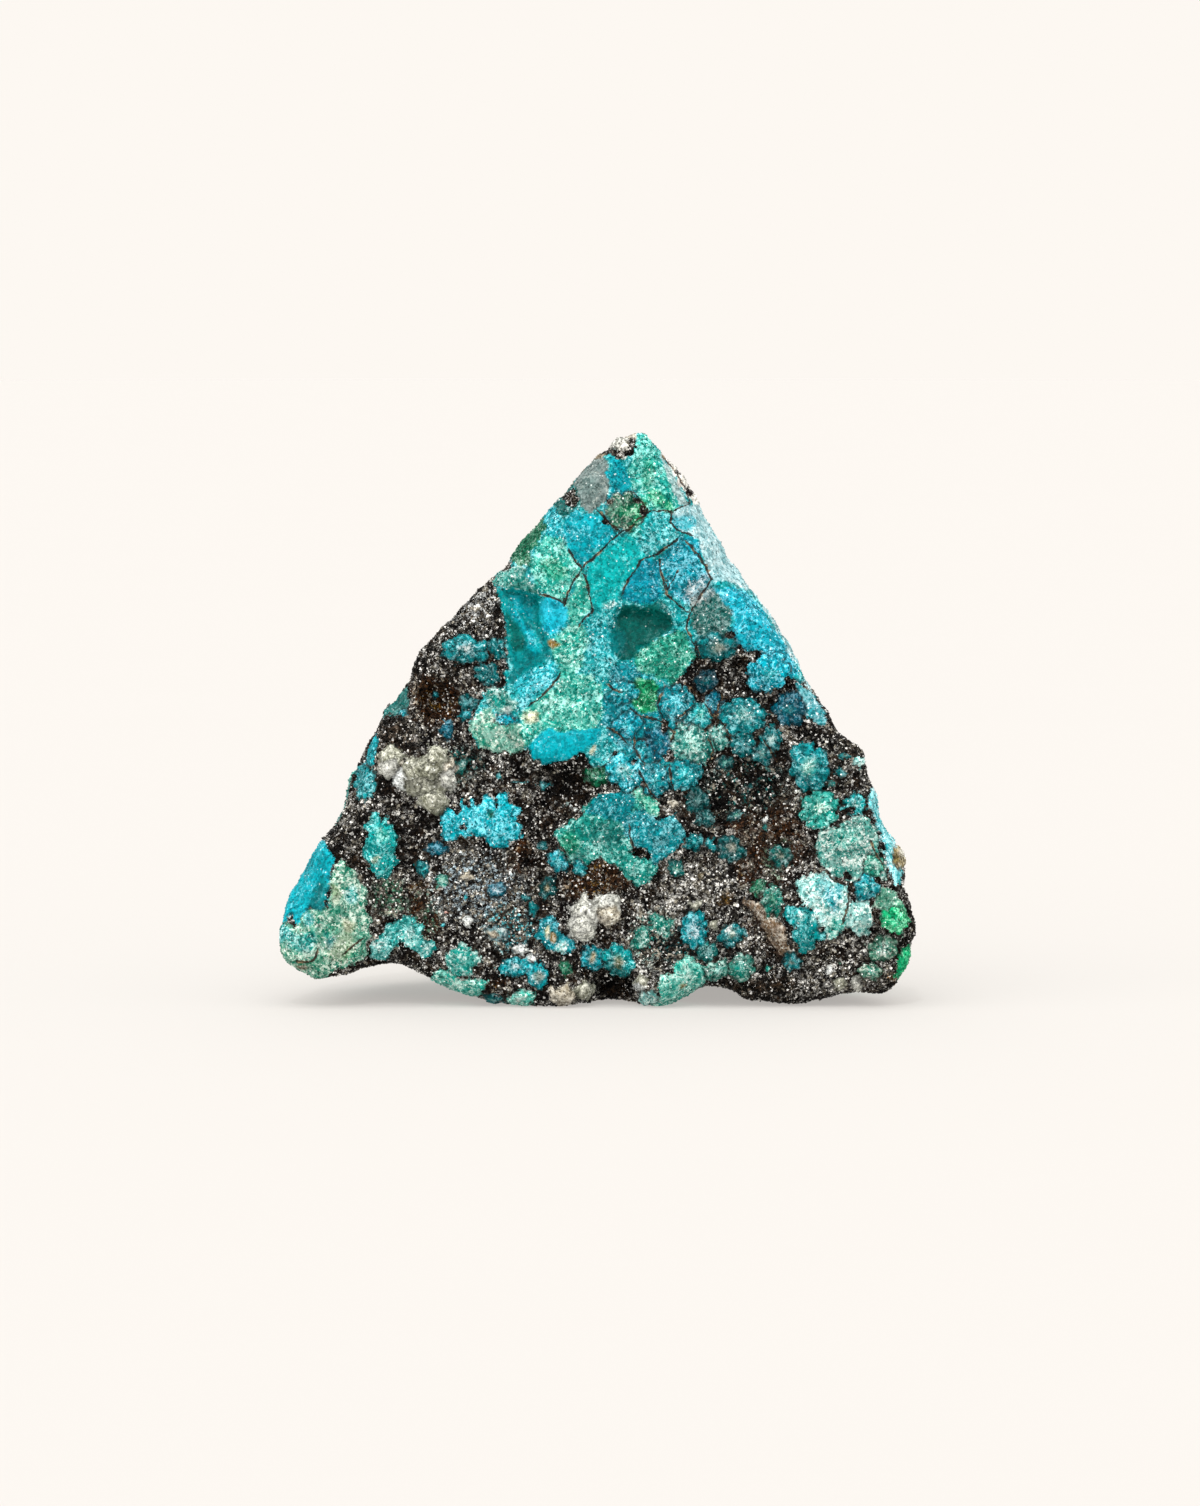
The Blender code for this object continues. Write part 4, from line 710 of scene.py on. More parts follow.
def coarser_behind(mesh):
    _, h, depth = face_places(points_of(mesh))
    facing = facing_of(normals_of(mesh))
    behind = smooth_step(2.5, 5.0, depth - 0.055 * h) * smooth_step(0.3, 0.1, facing)
    obj = new_object("dense", mesh)
    mesh.calc_loop_triangles()
    decimate = obj.modifiers.new("fewer", "DECIMATE")
    decimate.ratio = SKIN_TRIANGLES / len(mesh.loop_triangles)
    decimate.use_collapse_triangulate = True
    group = obj.vertex_groups.new(name="behind")
    for index, share in enumerate(behind):
        group.add([index], 0.05 + 0.95 * float(share), "REPLACE")
    decimate.vertex_group = group.name
    decimate.vertex_group_factor = FRONT_COST
    mesh = evaluated_mesh(obj)
    body = bmesh.new()
    body.from_mesh(mesh)
    for _ in range(SKIN_SMOOTHING):
        bmesh.ops.smooth_vert(
            body, verts=body.verts, factor=0.5, use_axis_x=True, use_axis_y=True, use_axis_z=True
        )
    body.to_mesh(mesh)
    body.free()
    return mesh


def wavy(points, size, offset=0.0):
    """Smooth noise from -1 to 1 in three parts, with waves of about this size."""
    return np.array([noise.noise_vector(Vector(p) + Vector((offset,) * 3)) for p in points / size])


def bumps(points, size):
    """Distance to the nearest of scattered spots, in parts of the spots' spacing."""
    return np.array([noise.voronoi(Vector(p))[0][0] for p in points / size])


class Paint:
    """What each point of the skin is painted with. The edge is how deep inside a crust a point is."""

    def __init__(self, count):
        self.edge = np.full(count, -REACH)
        self.best = np.full(count, -np.inf)
        self.crust = np.tile(PALETTE["turquoise"], (count, 1))
        self.matrix = np.tile(PALETTE["matrix"], (count, 1))
        self.speck = np.tile(PALETTE["side_white"], (count, 1))
        self.fleck = np.full(count, 0.42)
        self.seam = np.full(count, REACH)
        self.crack = np.full(count, REACH)
        self.lace = np.full(count, 0.5)
        self.gloss = np.zeros(count)
        self.dome = np.zeros(count)
        self.petal = np.zeros((count, 3))
        self.spray = np.zeros((count, 3))

    def patch(self, where, depth_in, colour, lace, gloss, dome=0.0, petal=None, outlined=False):
        """Lays a crust patch over those points. depth_in is the distance to its rim, in mm, minus outside."""
        wins = (depth_in > 0) | ((self.best[where] <= 0) & (depth_in > self.best[where]))
        at = where[wins]
        if outlined:
            self.seam[where] = np.minimum(self.seam[where], np.abs(depth_in))
            deep = where[depth_in > 0.5]
            self.seam[deep] = np.maximum(self.seam[deep], depth_in[depth_in > 0.5])
        self.best[at] = depth_in[wins]
        self.crust[at] = colour[wins] if colour.ndim == 2 else colour
        self.lace[at] = lace
        self.gloss[at] = gloss
        self.dome[at] = dome[wins] if isinstance(dome, np.ndarray) else dome
        self.petal[at] = petal[wins] if petal is not None else 0.0
        self.edge[where] = np.maximum(self.edge[where], np.clip(depth_in, -REACH, REACH))


def near_points(x, h, front, low, high):
    near = front & (x > low[0] - REACH) & (x < high[0] + REACH)
    return np.flatnonzero(near & (h > low[1] - REACH) & (h < high[1] + REACH))


def paint_fields(paint, x, h, warp, front, scallop):
    for name, (colour, lace, gloss, corners) in FIELDS.items():
        where = near_points(x, h, front, np.min(corners, axis=0), np.max(corners, axis=0))
        at_x = x[where] + (0.7 - 0.5 * gloss) * warp[where, 0]
        at_h = h[where] + (0.7 - 0.5 * gloss) * warp[where, 1]
        sign = np.where(inside(at_x, at_h, corners), 1.0, -1.0)
        depth_in = sign * line_distance(at_x, at_h, corners, True)[0]
        depth_in += scallop[where] * (1.0 - gloss)
        paint.patch(where, depth_in, PALETTE[colour], lace, gloss)


NODULE_GROWTH = 1.12
QUARTZ_GROWTH = 1.15


def petals_of(angle, index):
    """Which petal of a rosette lies at that angle, and how near its edge, from 0 in its middle to 1."""
    turn = (6 + index % 4) * angle / math.tau + 0.12 * np.sin(2.0 * angle + index) + 0.37 * index
    return np.floor(turn), np.abs(turn - np.floor(turn) - 0.5) * 2.0


def nodule_radius(across, up, index):
    """How far out a point is, as a share of the way to the rim: round petals with notches between."""
    angle = np.arctan2(up, across)
    rim = 1.05 - 0.22 * petals_of(angle, index)[1] ** 3 + 0.06 * np.cos(2.0 * angle + index * 1.3)
    return np.hypot(across, up) / rim


def paint_nodule(paint, index, where, across, up, size, colour, middle, lace, gloss, deep=None):
    """One nodule, from the points' offsets in parts of its half sizes and how deep inside they are."""
    radius = nodule_radius(across, up, index)
    deep = (1.0 - radius) * size if deep is None else deep
    petal, notch = petals_of(np.arctan2(up, across), index)
    outer = smooth_step(0.25, 0.6, radius)
    own = np.sin(petal * 12.9 + index * 7.7)
    core = smooth_step(0.55, 0.08, radius)[:, None] * 0.65
    tint = PALETTE[colour] * (1 - core) + PALETTE[middle] * core
    # Painted shade darkens the notches between petals, where the relief dips; each petal also gets its own
    # random tone.
    tint *= (1.0 + outer * (0.22 * own - 0.45 * smooth_step(0.55, 1.0, notch)))[:, None]
    tint *= 1.0 - 0.2 * smooth_step(0.25, 0.0, deep)[:, None]
    spray = np.stack([across, up, np.full(len(across), index * 0.37 % 5.0 + 0.5)], axis=1)
    dome = np.sqrt(np.clip(1.0 - radius**2, 0.0, 1.0)) * min(size, 1.4) * 0.18
    dome *= 1.0 - 0.4 * notch**2 * outer
    paint.patch(where, deep, tint, lace, gloss, dome, spray, True)


def packed_nodules(x, h, front):
    """Each nodule's points, their offsets and depths. Where two meet, the border runs midway between."""
    places = []
    first, second = np.full(len(x), -REACH), np.full(len(x), -REACH)
    for index, (cx, ch, wide, high, _, _) in enumerate(NODULES):
        wide, high = wide * NODULE_GROWTH, high * NODULE_GROWTH
        where = near_points(x, h, front, (cx - wide, ch - high), (cx + wide, ch + high))
        across, up = (x[where] - cx) / wide, (h[where] - ch) / high
        deep = (1.0 - nodule_radius(across, up, index)) * min(wide, high)
        second[where] = np.maximum(second[where], np.minimum(first[where], deep))
        first[where] = np.maximum(first[where], deep)
        places.append((where, across, up, min(wide, high), deep))
    for where, across, up, size, deep in places:
        rival = np.where(deep < first[where], first[where], second[where])
        yield where, across, up, size, np.where(rival > 0, np.minimum(deep, deep - rival), deep)


def crystal_depth(across, up, seed):
    """How deep inside a blunt crystal with five flat sides a point is, and its slanted top's height."""
    angles = [math.tau * (side + 0.3 * math.sin(7.0 * side + seed)) / 5 + seed for side in range(5)]
    walls = [1.0 - across * math.cos(angle) - up * math.sin(angle) for angle in angles]
    top = 0.45 + 0.3 * across * math.cos(3.0 * seed) + 0.3 * up * math.sin(3.0 * seed)
    return np.min(walls, axis=0), top


def paint_nodules(paint, x, h, front):
    for index, (where, across, up, size, deep) in enumerate(packed_nodules(x, h, front)):
        colour, middle = NODULES[index][4:]
        paint_nodule(paint, index, where, across, up, size, colour, middle, 0.75, 0.1, deep)
    for cx, ch, wide, high, colour in QUARTZ:
        wide, high = wide * QUARTZ_GROWTH, high * QUARTZ_GROWTH
        where = near_points(x, h, front, (cx - wide, ch - high), (cx + wide, ch + high))
        deep, top = crystal_depth((x[where] - cx) / wide, (h[where] - ch) / high, cx + ch)
        # Painted light and shade: each lump's colour is lighter where its slanted top stands higher and darker
        # where it is lower.
        tint = PALETTE[colour] * (1.0 + 0.5 * (top - 0.45))[:, None]
        dome = np.clip(np.minimum(deep, top), 0.0, 1.0) * 0.6
        paint.patch(where, deep * min(wide, high), tint, 0.7, 0.2, dome)


def soft_spot(x, h, cx, ch, wide, high):
    return smooth_step(1.2, 0.55, np.hypot((x - cx) / wide, (h - ch) / high))


def paint_holes(paint, x, h, front):
    for cx, ch, wide, high in HOLES:
        out = (np.hypot((x - cx) / wide, (h - ch) / high) - 1.0) * min(wide, high)
        paint.edge = np.where(front, np.minimum(paint.edge, out * 1.5), paint.edge)


def paint_stains(paint, x, h, front):
    for cx, ch, wide, high, colour, strength in STAINS:
        share = (soft_spot(x, h, cx, ch, wide, high) * strength * front)[:, None]
        paint.crust = paint.crust * (1 - share) + PALETTE[colour] * share
    for cx, ch, wide, high, colour, speck, fleck in ZONES:
        share = soft_spot(x, h, cx, ch, wide, high) * front
        paint.fleck = paint.fleck * (1 - share) + fleck * share
        share = share[:, None]
        paint.matrix = paint.matrix * (1 - share) + PALETTE[colour] * share
        paint.speck = paint.speck * (1 - share) + PALETTE[speck] * share


def paint_sprays(paint, x, h, front):
    """Where pale needles spread from a middle, in parts of the spray's radius."""
    best = np.full(len(x), 1.0)
    for index, (cx, ch, radius) in enumerate(SPRAYS):
        across, up = (x - cx) / radius, (h - ch) / radius
        out = np.hypot(across, up)
        at = front & (out < best) & (paint.petal[:, 2] == 0)
        best[at] = out[at]
        paint.spray[at] = np.stack([across[at], up[at], np.full(at.sum(), index * 0.73 + 1.0)], axis=1)


def paint_crumbs(paint, x, h, front):
    draw = np.random.default_rng(11)
    index = 100
    for cx, ch, wide, high, count, colours in CRUMBS:
        for _ in range(count):
            turn, out = draw.random() * math.tau, math.sqrt(draw.random())
            px, ph = cx + wide * out * math.cos(turn), ch + high * out * math.sin(turn)
            size = 0.22 + 0.45 * draw.random() ** 2
            colour = colours[draw.integers(len(colours))]
            index += 1
            where = near_points(x, h, front, (px - size, ph - size), (px + size, ph + size))
            across, up = (x[where] - px) / size, (h[where] - ph) / size
            if len(where) and paint.edge[where].max() < 0.3:
                paint_nodule(paint, index, where, across, up, size, colour, colour, 0.5, 0.1)


FAR_KINDS = [
    ("turquoise", "pale_cyan"), ("teal", "turquoise"), ("cyan", "pale_turquoise"), ("mint", "pale_mint"),
    ("green_teal", "mint"), ("bright_blue", "turquoise"), ("grey_mint", "pale_mint"),
    ("mint_green", "mint"), ("grey_teal", "grey_mint"), ("grey_quartz", "white"), ("blue", "turquoise"),
]
FAR_PATCHES = 220
FAR_FRONT = -9.0


def paint_far(paint, points, normals, far):
    """Nodules, crusts and zones on the sides, back and base, scattered by a seeded draw."""
    draw = np.random.default_rng(7)
    spots = np.flatnonzero(far)
    for index in range(FAR_PATCHES):
        centre = points[spots[draw.integers(len(spots))]]
        size = 0.9 + 4.2 * draw.random() ** 3
        if centre[2] < 2.0 or centre[1] < FAR_FRONT:
            continue
        colour, middle = FAR_KINDS[draw.integers(len(FAR_KINDS))]
        offset = points - centre
        where = np.flatnonzero(far & (np.linalg.norm(offset, axis=1) < size + REACH))
        if len(where) == 0:
            continue
        out = normals[where].mean(axis=0)
        side = np.cross(out, (0.3, 0.2, 1.0))
        side /= np.linalg.norm(side)
        top = np.cross(side, out)
        across, up = offset[where] @ side / size, offset[where] @ top / size
        paint_nodule(paint, index, where, across, up, size, colour, middle, 0.75, 0.1)


def make_paint(points, normals):
    x, h, depth = face_places(points)
    warp = 0.34 * wavy(points, 1.3) + 0.22 * wavy(points, 0.5, 9.0)
    facing = facing_of(normals)
    front = (facing > 0.3) | (depth - 0.055 * h < 5.0 + 3.0 * warp[:, 2])
    paint = Paint(len(points))
    scallop = 0.55 * (0.52 - bumps(points, 1.1))
    paint_fields(paint, x, h, warp, front, scallop)
    paint_nodules(paint, x + warp[:, 0], h + warp[:, 1], front)
    paint_crumbs(paint, x + 0.6 * warp[:, 0], h + 0.6 * warp[:, 1], front)
    paint_sprays(paint, x + 0.6 * warp[:, 0], h + 0.6 * warp[:, 1], front)
    paint.spray = np.where(paint.petal[:, 2:] > 0, paint.petal, paint.spray)
    paint_holes(paint, x + warp[:, 0], h + warp[:, 1], front)
    stray = warp + 0.8 * wavy(points, 2.6, 7.0)
    paint_stains(paint, x + stray[:, 0], h + stray[:, 1], front)
    for corners in CRACKS:
        gap, side = line_distance(x + 0.5 * warp[:, 0], h + 0.5 * warp[:, 1], corners)
        nearer = front & (gap < np.abs(paint.crack))
        paint.crack = np.where(nearer, side * gap, paint.crack)
        paint.seam = np.where(front & (gap < 0.5), np.minimum(paint.seam, gap + 0.12), paint.seam)
    paint_far(paint, points + 0.5 * warp, normals, ~front)
    paint.spray = np.where(paint.petal[:, 2:] > 0, paint.petal, paint.spray)
    share = (smooth_step(0.0, 0.5, wavy(points, 9.0, 3.0)[:, 0]) * ~front)[:, None]
    paint.matrix = paint.matrix * (1 - share) + PALETTE["far_brown"] * share
    return paint


def add_relief(mesh, paint):
    """Moves the skin's points to raised crusts, domed nodules, crumbs and open seams."""
    points, normals = points_of(mesh), normals_of(mesh)
    crust = smooth_step(-0.12, 0.3, paint.edge)
    lobes = 0.16 * (0.45 - bumps(points, 1.3)) * (paint.dome == 0)
    druse = 0.08 * (0.5 - bumps(points, 0.55)) + 0.05 * wavy(points, 0.8)[:, 0]
    height = crust * (0.2 + paint.dome + (1.0 - paint.gloss) * (druse + lobes))
    crumbs = 0.30 * (0.45 - bumps(points, 0.95)) + 0.14 * (0.45 - bumps(points + 40.0, 0.5))
    calm = 0.45 + 0.55 * smooth_step(0.0, 0.5, np.abs(facing_of(normals)))
    height += (1.0 - crust) * calm * (crumbs + 0.30 * wavy(points, 1.9, 6.0)[:, 0])
    height -= 0.14 * smooth_step(0.24, 0.04, paint.seam) * crust
    points = points + normals * (height - 0.12)[:, None]
    low, high = np.array(cad_box[0]) / MM, np.array(cad_box[1]) / MM
    set_points(mesh, np.clip(points, low, high))


def store(mesh, name, values):
    kind = "FLOAT_VECTOR" if values.ndim == 2 else "FLOAT"
    layer = mesh.attributes.new(name, kind, "POINT")
    layer.data.foreach_set("vector" if values.ndim == 2 else "value", values.ravel().astype(np.float32))


class Shader:
    """A material's node tree, with short calls for the nodes that these surfaces use."""

    def __init__(self, name):
        self.material = bpy.data.materials.new(name)
        self.material.use_nodes = True
        self.tree = self.material.node_tree
        self.surface = self.tree.nodes["Principled BSDF"]

    def node(self, kind, settings=None, **inputs):
        node = self.tree.nodes.new(kind)
        for name, value in (settings or {}).items():
            setattr(node, name, value)
        for name, value in inputs.items():
            self.feed(node.inputs[name.replace("_", " ")], value)
        return node

    def feed(self, socket, value):
        if isinstance(value, bpy.types.NodeSocket):
            self.tree.links.new(value, socket)
        else:
            socket.default_value = value

    def sum(self, operation, first, second=0.0):
        node = self.node("ShaderNodeMath", {"operation": operation})
        self.feed(node.inputs[0], first)
        self.feed(node.inputs[1], second)
        return node.outputs[0]

    def vector(self, operation, first, second=(0.0, 0.0, 0.0), scale=None):
        node = self.node("ShaderNodeVectorMath", {"operation": operation})
        self.feed(node.inputs[0], first)
        self.feed(node.inputs[1], second)
        if scale is not None:
            self.feed(node.inputs["Scale"], scale)
        return node.outputs[0]

    def step(self, low, high, value):
        node = self.node("ShaderNodeMapRange", {"interpolation_type": "SMOOTHSTEP"}, Value=value)
        self.feed(node.inputs["From Min"], low)
        self.feed(node.inputs["From Max"], high)
        return node.outputs[0]

    def mix(self, share, first, second):
        node = self.node("ShaderNodeMix", {"data_type": "RGBA"})
        self.feed(node.inputs[0], share)
        self.feed(node.inputs[6], first)
        self.feed(node.inputs[7], second)
        return node.outputs[2]

    def attribute(self, name):
        return self.node("ShaderNodeAttribute", {"attribute_name": name})

    def number(self, name):
        return self.attribute(name).outputs["Fac"]

    def colour(self, name):
        return self.attribute(name).outputs["Color"]

    def noise(self, place, scale, detail=2.0, roughness=0.5, twist=0.0):
        node = self.node("ShaderNodeTexNoise", Vector=place, Scale=scale, Detail=detail)
        self.feed(node.inputs["Roughness"], roughness)
        self.feed(node.inputs["Distortion"], twist)
        return node.outputs["Fac"]

    def deeper(self, colour, value, saturation=1.45):
        """A darker and more saturated shade of the same hue. Grey stays grey."""
        node = self.node("ShaderNodeHueSaturation", Color=colour, Value=value, Saturation=saturation)
        return node.outputs[0]

    def cells(self, place, scale):
        return self.node("ShaderNodeTexVoronoi", Vector=place, Scale=scale)

    def place_in_mm(self):
        return self.vector("SCALE", self.node("ShaderNodeTexCoord").outputs["Object"], scale=1 / MM)


MATRIX_BRIGHTNESS = 0.46
CRUST_BRIGHTNESS = 0.62
PALE_CYAN = (0.20, 0.23, 0.24, 1.0)
PALE_WARM = (0.34, 0.34, 0.30, 1.0)


def lines(s, place, scale, width, twist=0.0):
    """Thin curly lines, as the seams between small crystals are."""
    middle = s.sum("ABSOLUTE", s.sum("SUBTRACT", s.noise(place, scale, 2.0, 0.5, twist), 0.5))
    return s.step(width, s.sum("MULTIPLY", width, 0.4), middle)


def shifted(s, place, by):
    return s.vector("ADD", place, (by, 1.7 * by, -by))


def split(s, colour):
    return s.node("ShaderNodeSeparateColor", Color=colour).outputs


def needles(s):
    """Pale needles that spread from the middle of a rosette or a spray, densest in its middle."""
    spray = s.attribute("spray").outputs["Vector"]
    flat = s.vector("MULTIPLY", spray, (1.0, 1.0, 0.0))
    length = s.node("ShaderNodeVectorMath", {"operation": "LENGTH"})
    s.feed(length.inputs[0], flat)
    radius = length.outputs["Value"]
    around = s.vector("SCALE", s.vector("NORMALIZE", flat), scale=2.4)
    along = s.vector("ADD", s.vector("MULTIPLY", spray, (0.9, 0.9, 6.0)), around)
    streak = s.noise(along, 1.3, 5.0, 0.62)
    index = s.node("ShaderNodeSeparateXYZ", Vector=spray).outputs[2]
    own = s.sum("SUBTRACT", s.noise(s.vector("SCALE", (3.1, 5.7, 8.3), scale=index), 1.0), 0.55)
    level = s.sum("ADD", streak, s.sum("MULTIPLY", s.sum("SUBTRACT", 0.45, radius), 0.14))
    level = s.sum("ADD", level, s.sum("MULTIPLY", own, 0.35))
    exists = s.step(0.2, 0.4, index)
    return s.sum("MULTIPLY", s.step(0.56, 0.61, level), s.sum("MULTIPLY", exists, s.step(1.0, 0.85, radius)))


def pale_shade(s, base):
    """The frost's colour: pale cyan over blues and greens, warm white over quartz and tan."""
    red, green, _ = split(s, base)[:3]
    warm = s.step(0.30, 0.75, s.sum("DIVIDE", red, s.sum("MAXIMUM", green, 0.01)))
    light = s.sum("MINIMUM", s.sum("ADD", 0.35, s.sum("MULTIPLY", green, 2.6)), 1.0)
    pale = s.vector("SCALE", s.mix(warm, PALE_CYAN, PALE_WARM), scale=light)
    own = s.mix(warm, (3.0, 1.5, 1.5, 1.0), (0.8, 0.8, 0.8, 1.0))
    return s.vector("ADD", s.vector("MULTIPLY", base, own), pale)


def crust_look(s, place):
    """Crust colour: soft clouds, single grains, ragged pale frost, needles, dark pores and painted glints."""
    base = s.vector("SCALE", s.colour("crust"), scale=CRUST_BRIGHTNESS)
    gloss, lace = s.number("gloss"), s.number("lace")
    calm = s.sum("MULTIPLY", gloss, 0.4)
    clouds = s.step(0.38, 0.58, s.noise(shifted(s, place, 5.0), 0.8, 5.0, 0.55))
    colour = s.mix(s.sum("MAXIMUM", clouds, calm), s.deeper(base, 0.74), base)
    own = s.sum("SUBTRACT", split(s, s.cells(shifted(s, place, 31.0), 3.3).outputs["Color"])[0], 0.5)
    ripple = s.sum("SUBTRACT", s.noise(shifted(s, place, 3.0), 2.4, 2.0, 0.6, 0.6), 0.5)
    grain = s.step(-0.22, 0.06, s.sum("ADD", s.sum("MULTIPLY", own, 0.4), s.sum("MULTIPLY", ripple, 1.1)))
    colour = s.mix(s.sum("MAXIMUM", grain, calm), s.deeper(colour, 0.54), s.vector("SCALE", colour, scale=1.1))
    wide = s.sum("MULTIPLY", s.sum("SUBTRACT", s.noise(shifted(s, place, 8.0), 0.7, 3.0), 0.5), 0.5)
    level = s.sum("ADD", s.noise(shifted(s, place, 9.0), 2.9, 3.0, 0.65, 0.7), wide)
    level = s.sum("ADD", s.sum("ADD", level, s.sum("MULTIPLY", own, 0.12)), s.sum("MULTIPLY", lace, 0.12))
    curls = lines(s, shifted(s, place, 1.0), 2.2, 0.05, 1.2)
    threads = s.sum("MULTIPLY", curls, s.step(0.58, 0.62, level))
    frost = s.sum("MAXIMUM", s.step(0.675, 0.70, level), s.sum("MULTIPLY", threads, 0.6))
    frost = s.sum("MAXIMUM", s.sum("MULTIPLY", frost, 0.9), s.sum("MULTIPLY", needles(s), 0.75))
    frost = s.sum("MULTIPLY", frost, s.sum("SUBTRACT", 1.0, s.sum("MULTIPLY", gloss, 0.8)))
    colour = s.mix(frost, colour, pale_shade(s, base))
    pores = s.step(0.42, 0.37, s.noise(shifted(s, place, 13.0), 2.4, 4.0, 0.68, 0.4))
    pores = s.sum("MULTIPLY", pores, s.sum("SUBTRACT", 0.9, s.sum("MULTIPLY", gloss, 0.8)))
    colour = s.mix(pores, colour, s.deeper(base, 0.2))
    matt = s.sum("SUBTRACT", 1.0, s.sum("MULTIPLY", gloss, 0.6))
    pits = sparkles(s, shifted(s, place, 21.0), 3.2, s.sum("SUBTRACT", 0.98, s.sum("MULTIPLY", lace, 0.10)))
    colour = s.mix(s.sum("MULTIPLY", pits, matt), colour, s.deeper(base, 0.12))
    # Painted glints: near-white dots put into the colour, fewer on smooth faces.
    rarity = s.sum("SUBTRACT", 0.96, s.sum("MULTIPLY", s.sum("SUBTRACT", level, 0.5), 0.6))
    bright = s.sum("MULTIPLY", sparkles(s, place, 3.2, rarity), matt)
    return s.mix(bright, colour, (0.80, 0.84, 0.82, 1.0))


def sparkles(s, place, scale, rarity):
    """Small bright dots of different sizes, one in the middle of a few of the cells."""
    cells = s.cells(shifted(s, place, 2.0), scale)
    kind = split(s, cells.outputs["Color"])
    size = s.sum("ADD", 0.20, s.sum("MULTIPLY", kind[2], 0.22))
    dot = s.step(size, s.sum("MULTIPLY", size, 0.6), cells.outputs["Distance"])
    return s.sum("MULTIPLY", dot, s.step(rarity, s.sum("ADD", rarity, 0.02), kind[1]))


def matrix_look(s, place):
    """Matrix colour: brown-black, with grey grains in ragged clusters, curly threads and painted white glints.
    """
    base = s.vector("SCALE", s.colour("matrix"), scale=MATRIX_BRIGHTNESS)
    crumbs = s.noise(place, 2.2, 5.0, 0.75, 0.6)
    warm = s.step(0.46, 0.62, s.noise(shifted(s, place, 6.0), 0.4, 6.0, 0.7))
    colour = s.mix(s.sum("MULTIPLY", warm, 0.7), base, (0.058, 0.036, 0.020, 1.0))
    colour = s.vector("SCALE", colour, scale=s.sum("ADD", s.step(0.43, 0.64, crumbs), 0.02))
    cluster = s.sum("SUBTRACT", s.noise(shifted(s, place, 2.0), 0.7, 6.0, 0.7), 0.5)
    level = s.sum("ADD", cluster, s.sum("MULTIPLY", s.sum("SUBTRACT", s.number("fleck"), 0.42), 0.30))
    kind = split(s, s.cells(shifted(s, place, 41.0), 3.4).outputs["Color"])
    tint = s.mix(s.step(0.4, 0.6, kind[2]), s.colour("speck"), (0.41, 0.38, 0.31, 1.0))
    near = s.sum("ADD", s.sum("MULTIPLY", level, 2.2), s.sum("MULTIPLY", s.sum("SUBTRACT", crumbs, 0.5), 1.6))
    grey = s.step(0.76, 0.86, s.sum("ADD", kind[0], near))
    shade = s.sum("ADD", 0.05, s.sum("MULTIPLY", s.sum("POWER", kind[1], 2.3), 0.95))
    colour = s.mix(s.sum("MULTIPLY", grey, 0.85), colour, s.vector("SCALE", tint, scale=shade))
    light = s.step(0.38, 0.62, s.noise(shifted(s, place, 11.0), 1.7, 3.0))
    width = s.sum("ADD", 0.03, s.sum("MULTIPLY", s.sum("MAXIMUM", level, 0.0), 0.18))
    curls = s.sum("MULTIPLY", lines(s, place, 2.0, width, 1.4), s.step(-0.02, 0.06, level))
    threads = s.sum("MULTIPLY", curls, s.sum("ADD", s.sum("MULTIPLY", light, 0.70), 0.10))
    colour = s.mix(threads, colour, s.vector("SCALE", tint, scale=0.9))
    # Painted glints: near-white dots, and the grains chosen to sparkle, put into the colour.
    rarity = s.sum("SUBTRACT", 0.89, s.sum("MULTIPLY", level, 1.2))
    painted_glints = s.sum("MAXIMUM", sparkles(s, place, 3.3, rarity), s.sum("MULTIPLY", s.number("painted_spark"), 0.6))
    return s.mix(painted_glints, colour, (0.84, 0.83, 0.80, 1.0))


def mineral_material(name, specular, facet_tilt):
    """The whole specimen's look, from the paint stored on its pieces and from its own textures."""
    s = Shader(name)
    place = s.place_in_mm()
    cells = s.cells(place, 3.3)
    fine = s.noise(place, 3.6, 2.0)
    ragged = s.sum("MULTIPLY", s.sum("SUBTRACT", s.noise(place, 1.7, 6.0, 0.65), 0.5), 1.3)
    crust_share = s.step(-0.03, 0.03, s.sum("ADD", s.number("edge"), ragged))
    colour = s.mix(crust_share, matrix_look(s, place), crust_look(s, place))
    seam = s.sum("ADD", s.number("seam"), s.sum("MULTIPLY", s.sum("SUBTRACT", fine, 0.5), 0.3))
    grout = s.sum("MULTIPLY", s.step(0.11, 0.03, seam), s.step(0.46, 0.54, s.noise(place, 1.4, 4.0)))
    colour = s.mix(s.sum("MULTIPLY", grout, 0.7), colour, (0.030, 0.018, 0.010, 1.0))
    colour = crack_look(s, fine, colour)
    # Painted shade and light: the colour is darkened where the skin sinks below its neighbours and lightened
    # where it stands out.
    relief_shade = s.sum("ADD", s.sum("MULTIPLY", s.number("relief_shade"), RELIEF_SHADE_STRENGTH), 1.0)
    colour = s.vector("SCALE", colour, scale=s.sum("MULTIPLY", relief_shade, s.number("shade")))
    s.feed(s.surface.inputs["Base Color"], colour)
    gloss = s.sum("MULTIPLY", s.number("gloss"), 0.12)
    roughness = s.sum("ADD", 0.18, s.sum("MULTIPLY", s.noise(place, 4.0, 1.0), 0.4))
    s.feed(s.surface.inputs["Roughness"], s.sum("SUBTRACT", roughness, gloss))
    s.surface.inputs["Specular IOR Level"].default_value = specular
    height = s.sum("ADD", s.sum("MULTIPLY", cells.outputs["Distance"], -0.6), s.sum("MULTIPLY", fine, 0.6))
    bump = s.node("ShaderNodeBump", Height=height, Strength=0.5, Distance=0.12 * MM)
    tilt = s.vector("SUBTRACT", cells.outputs["Color"], (0.5, 0.5, 0.5))
    facets = s.vector("ADD", bump.outputs[0], s.vector("SCALE", tilt, scale=facet_tilt))
    s.feed(s.surface.inputs["Normal"], s.vector("NORMALIZE", facets))
    return s.material


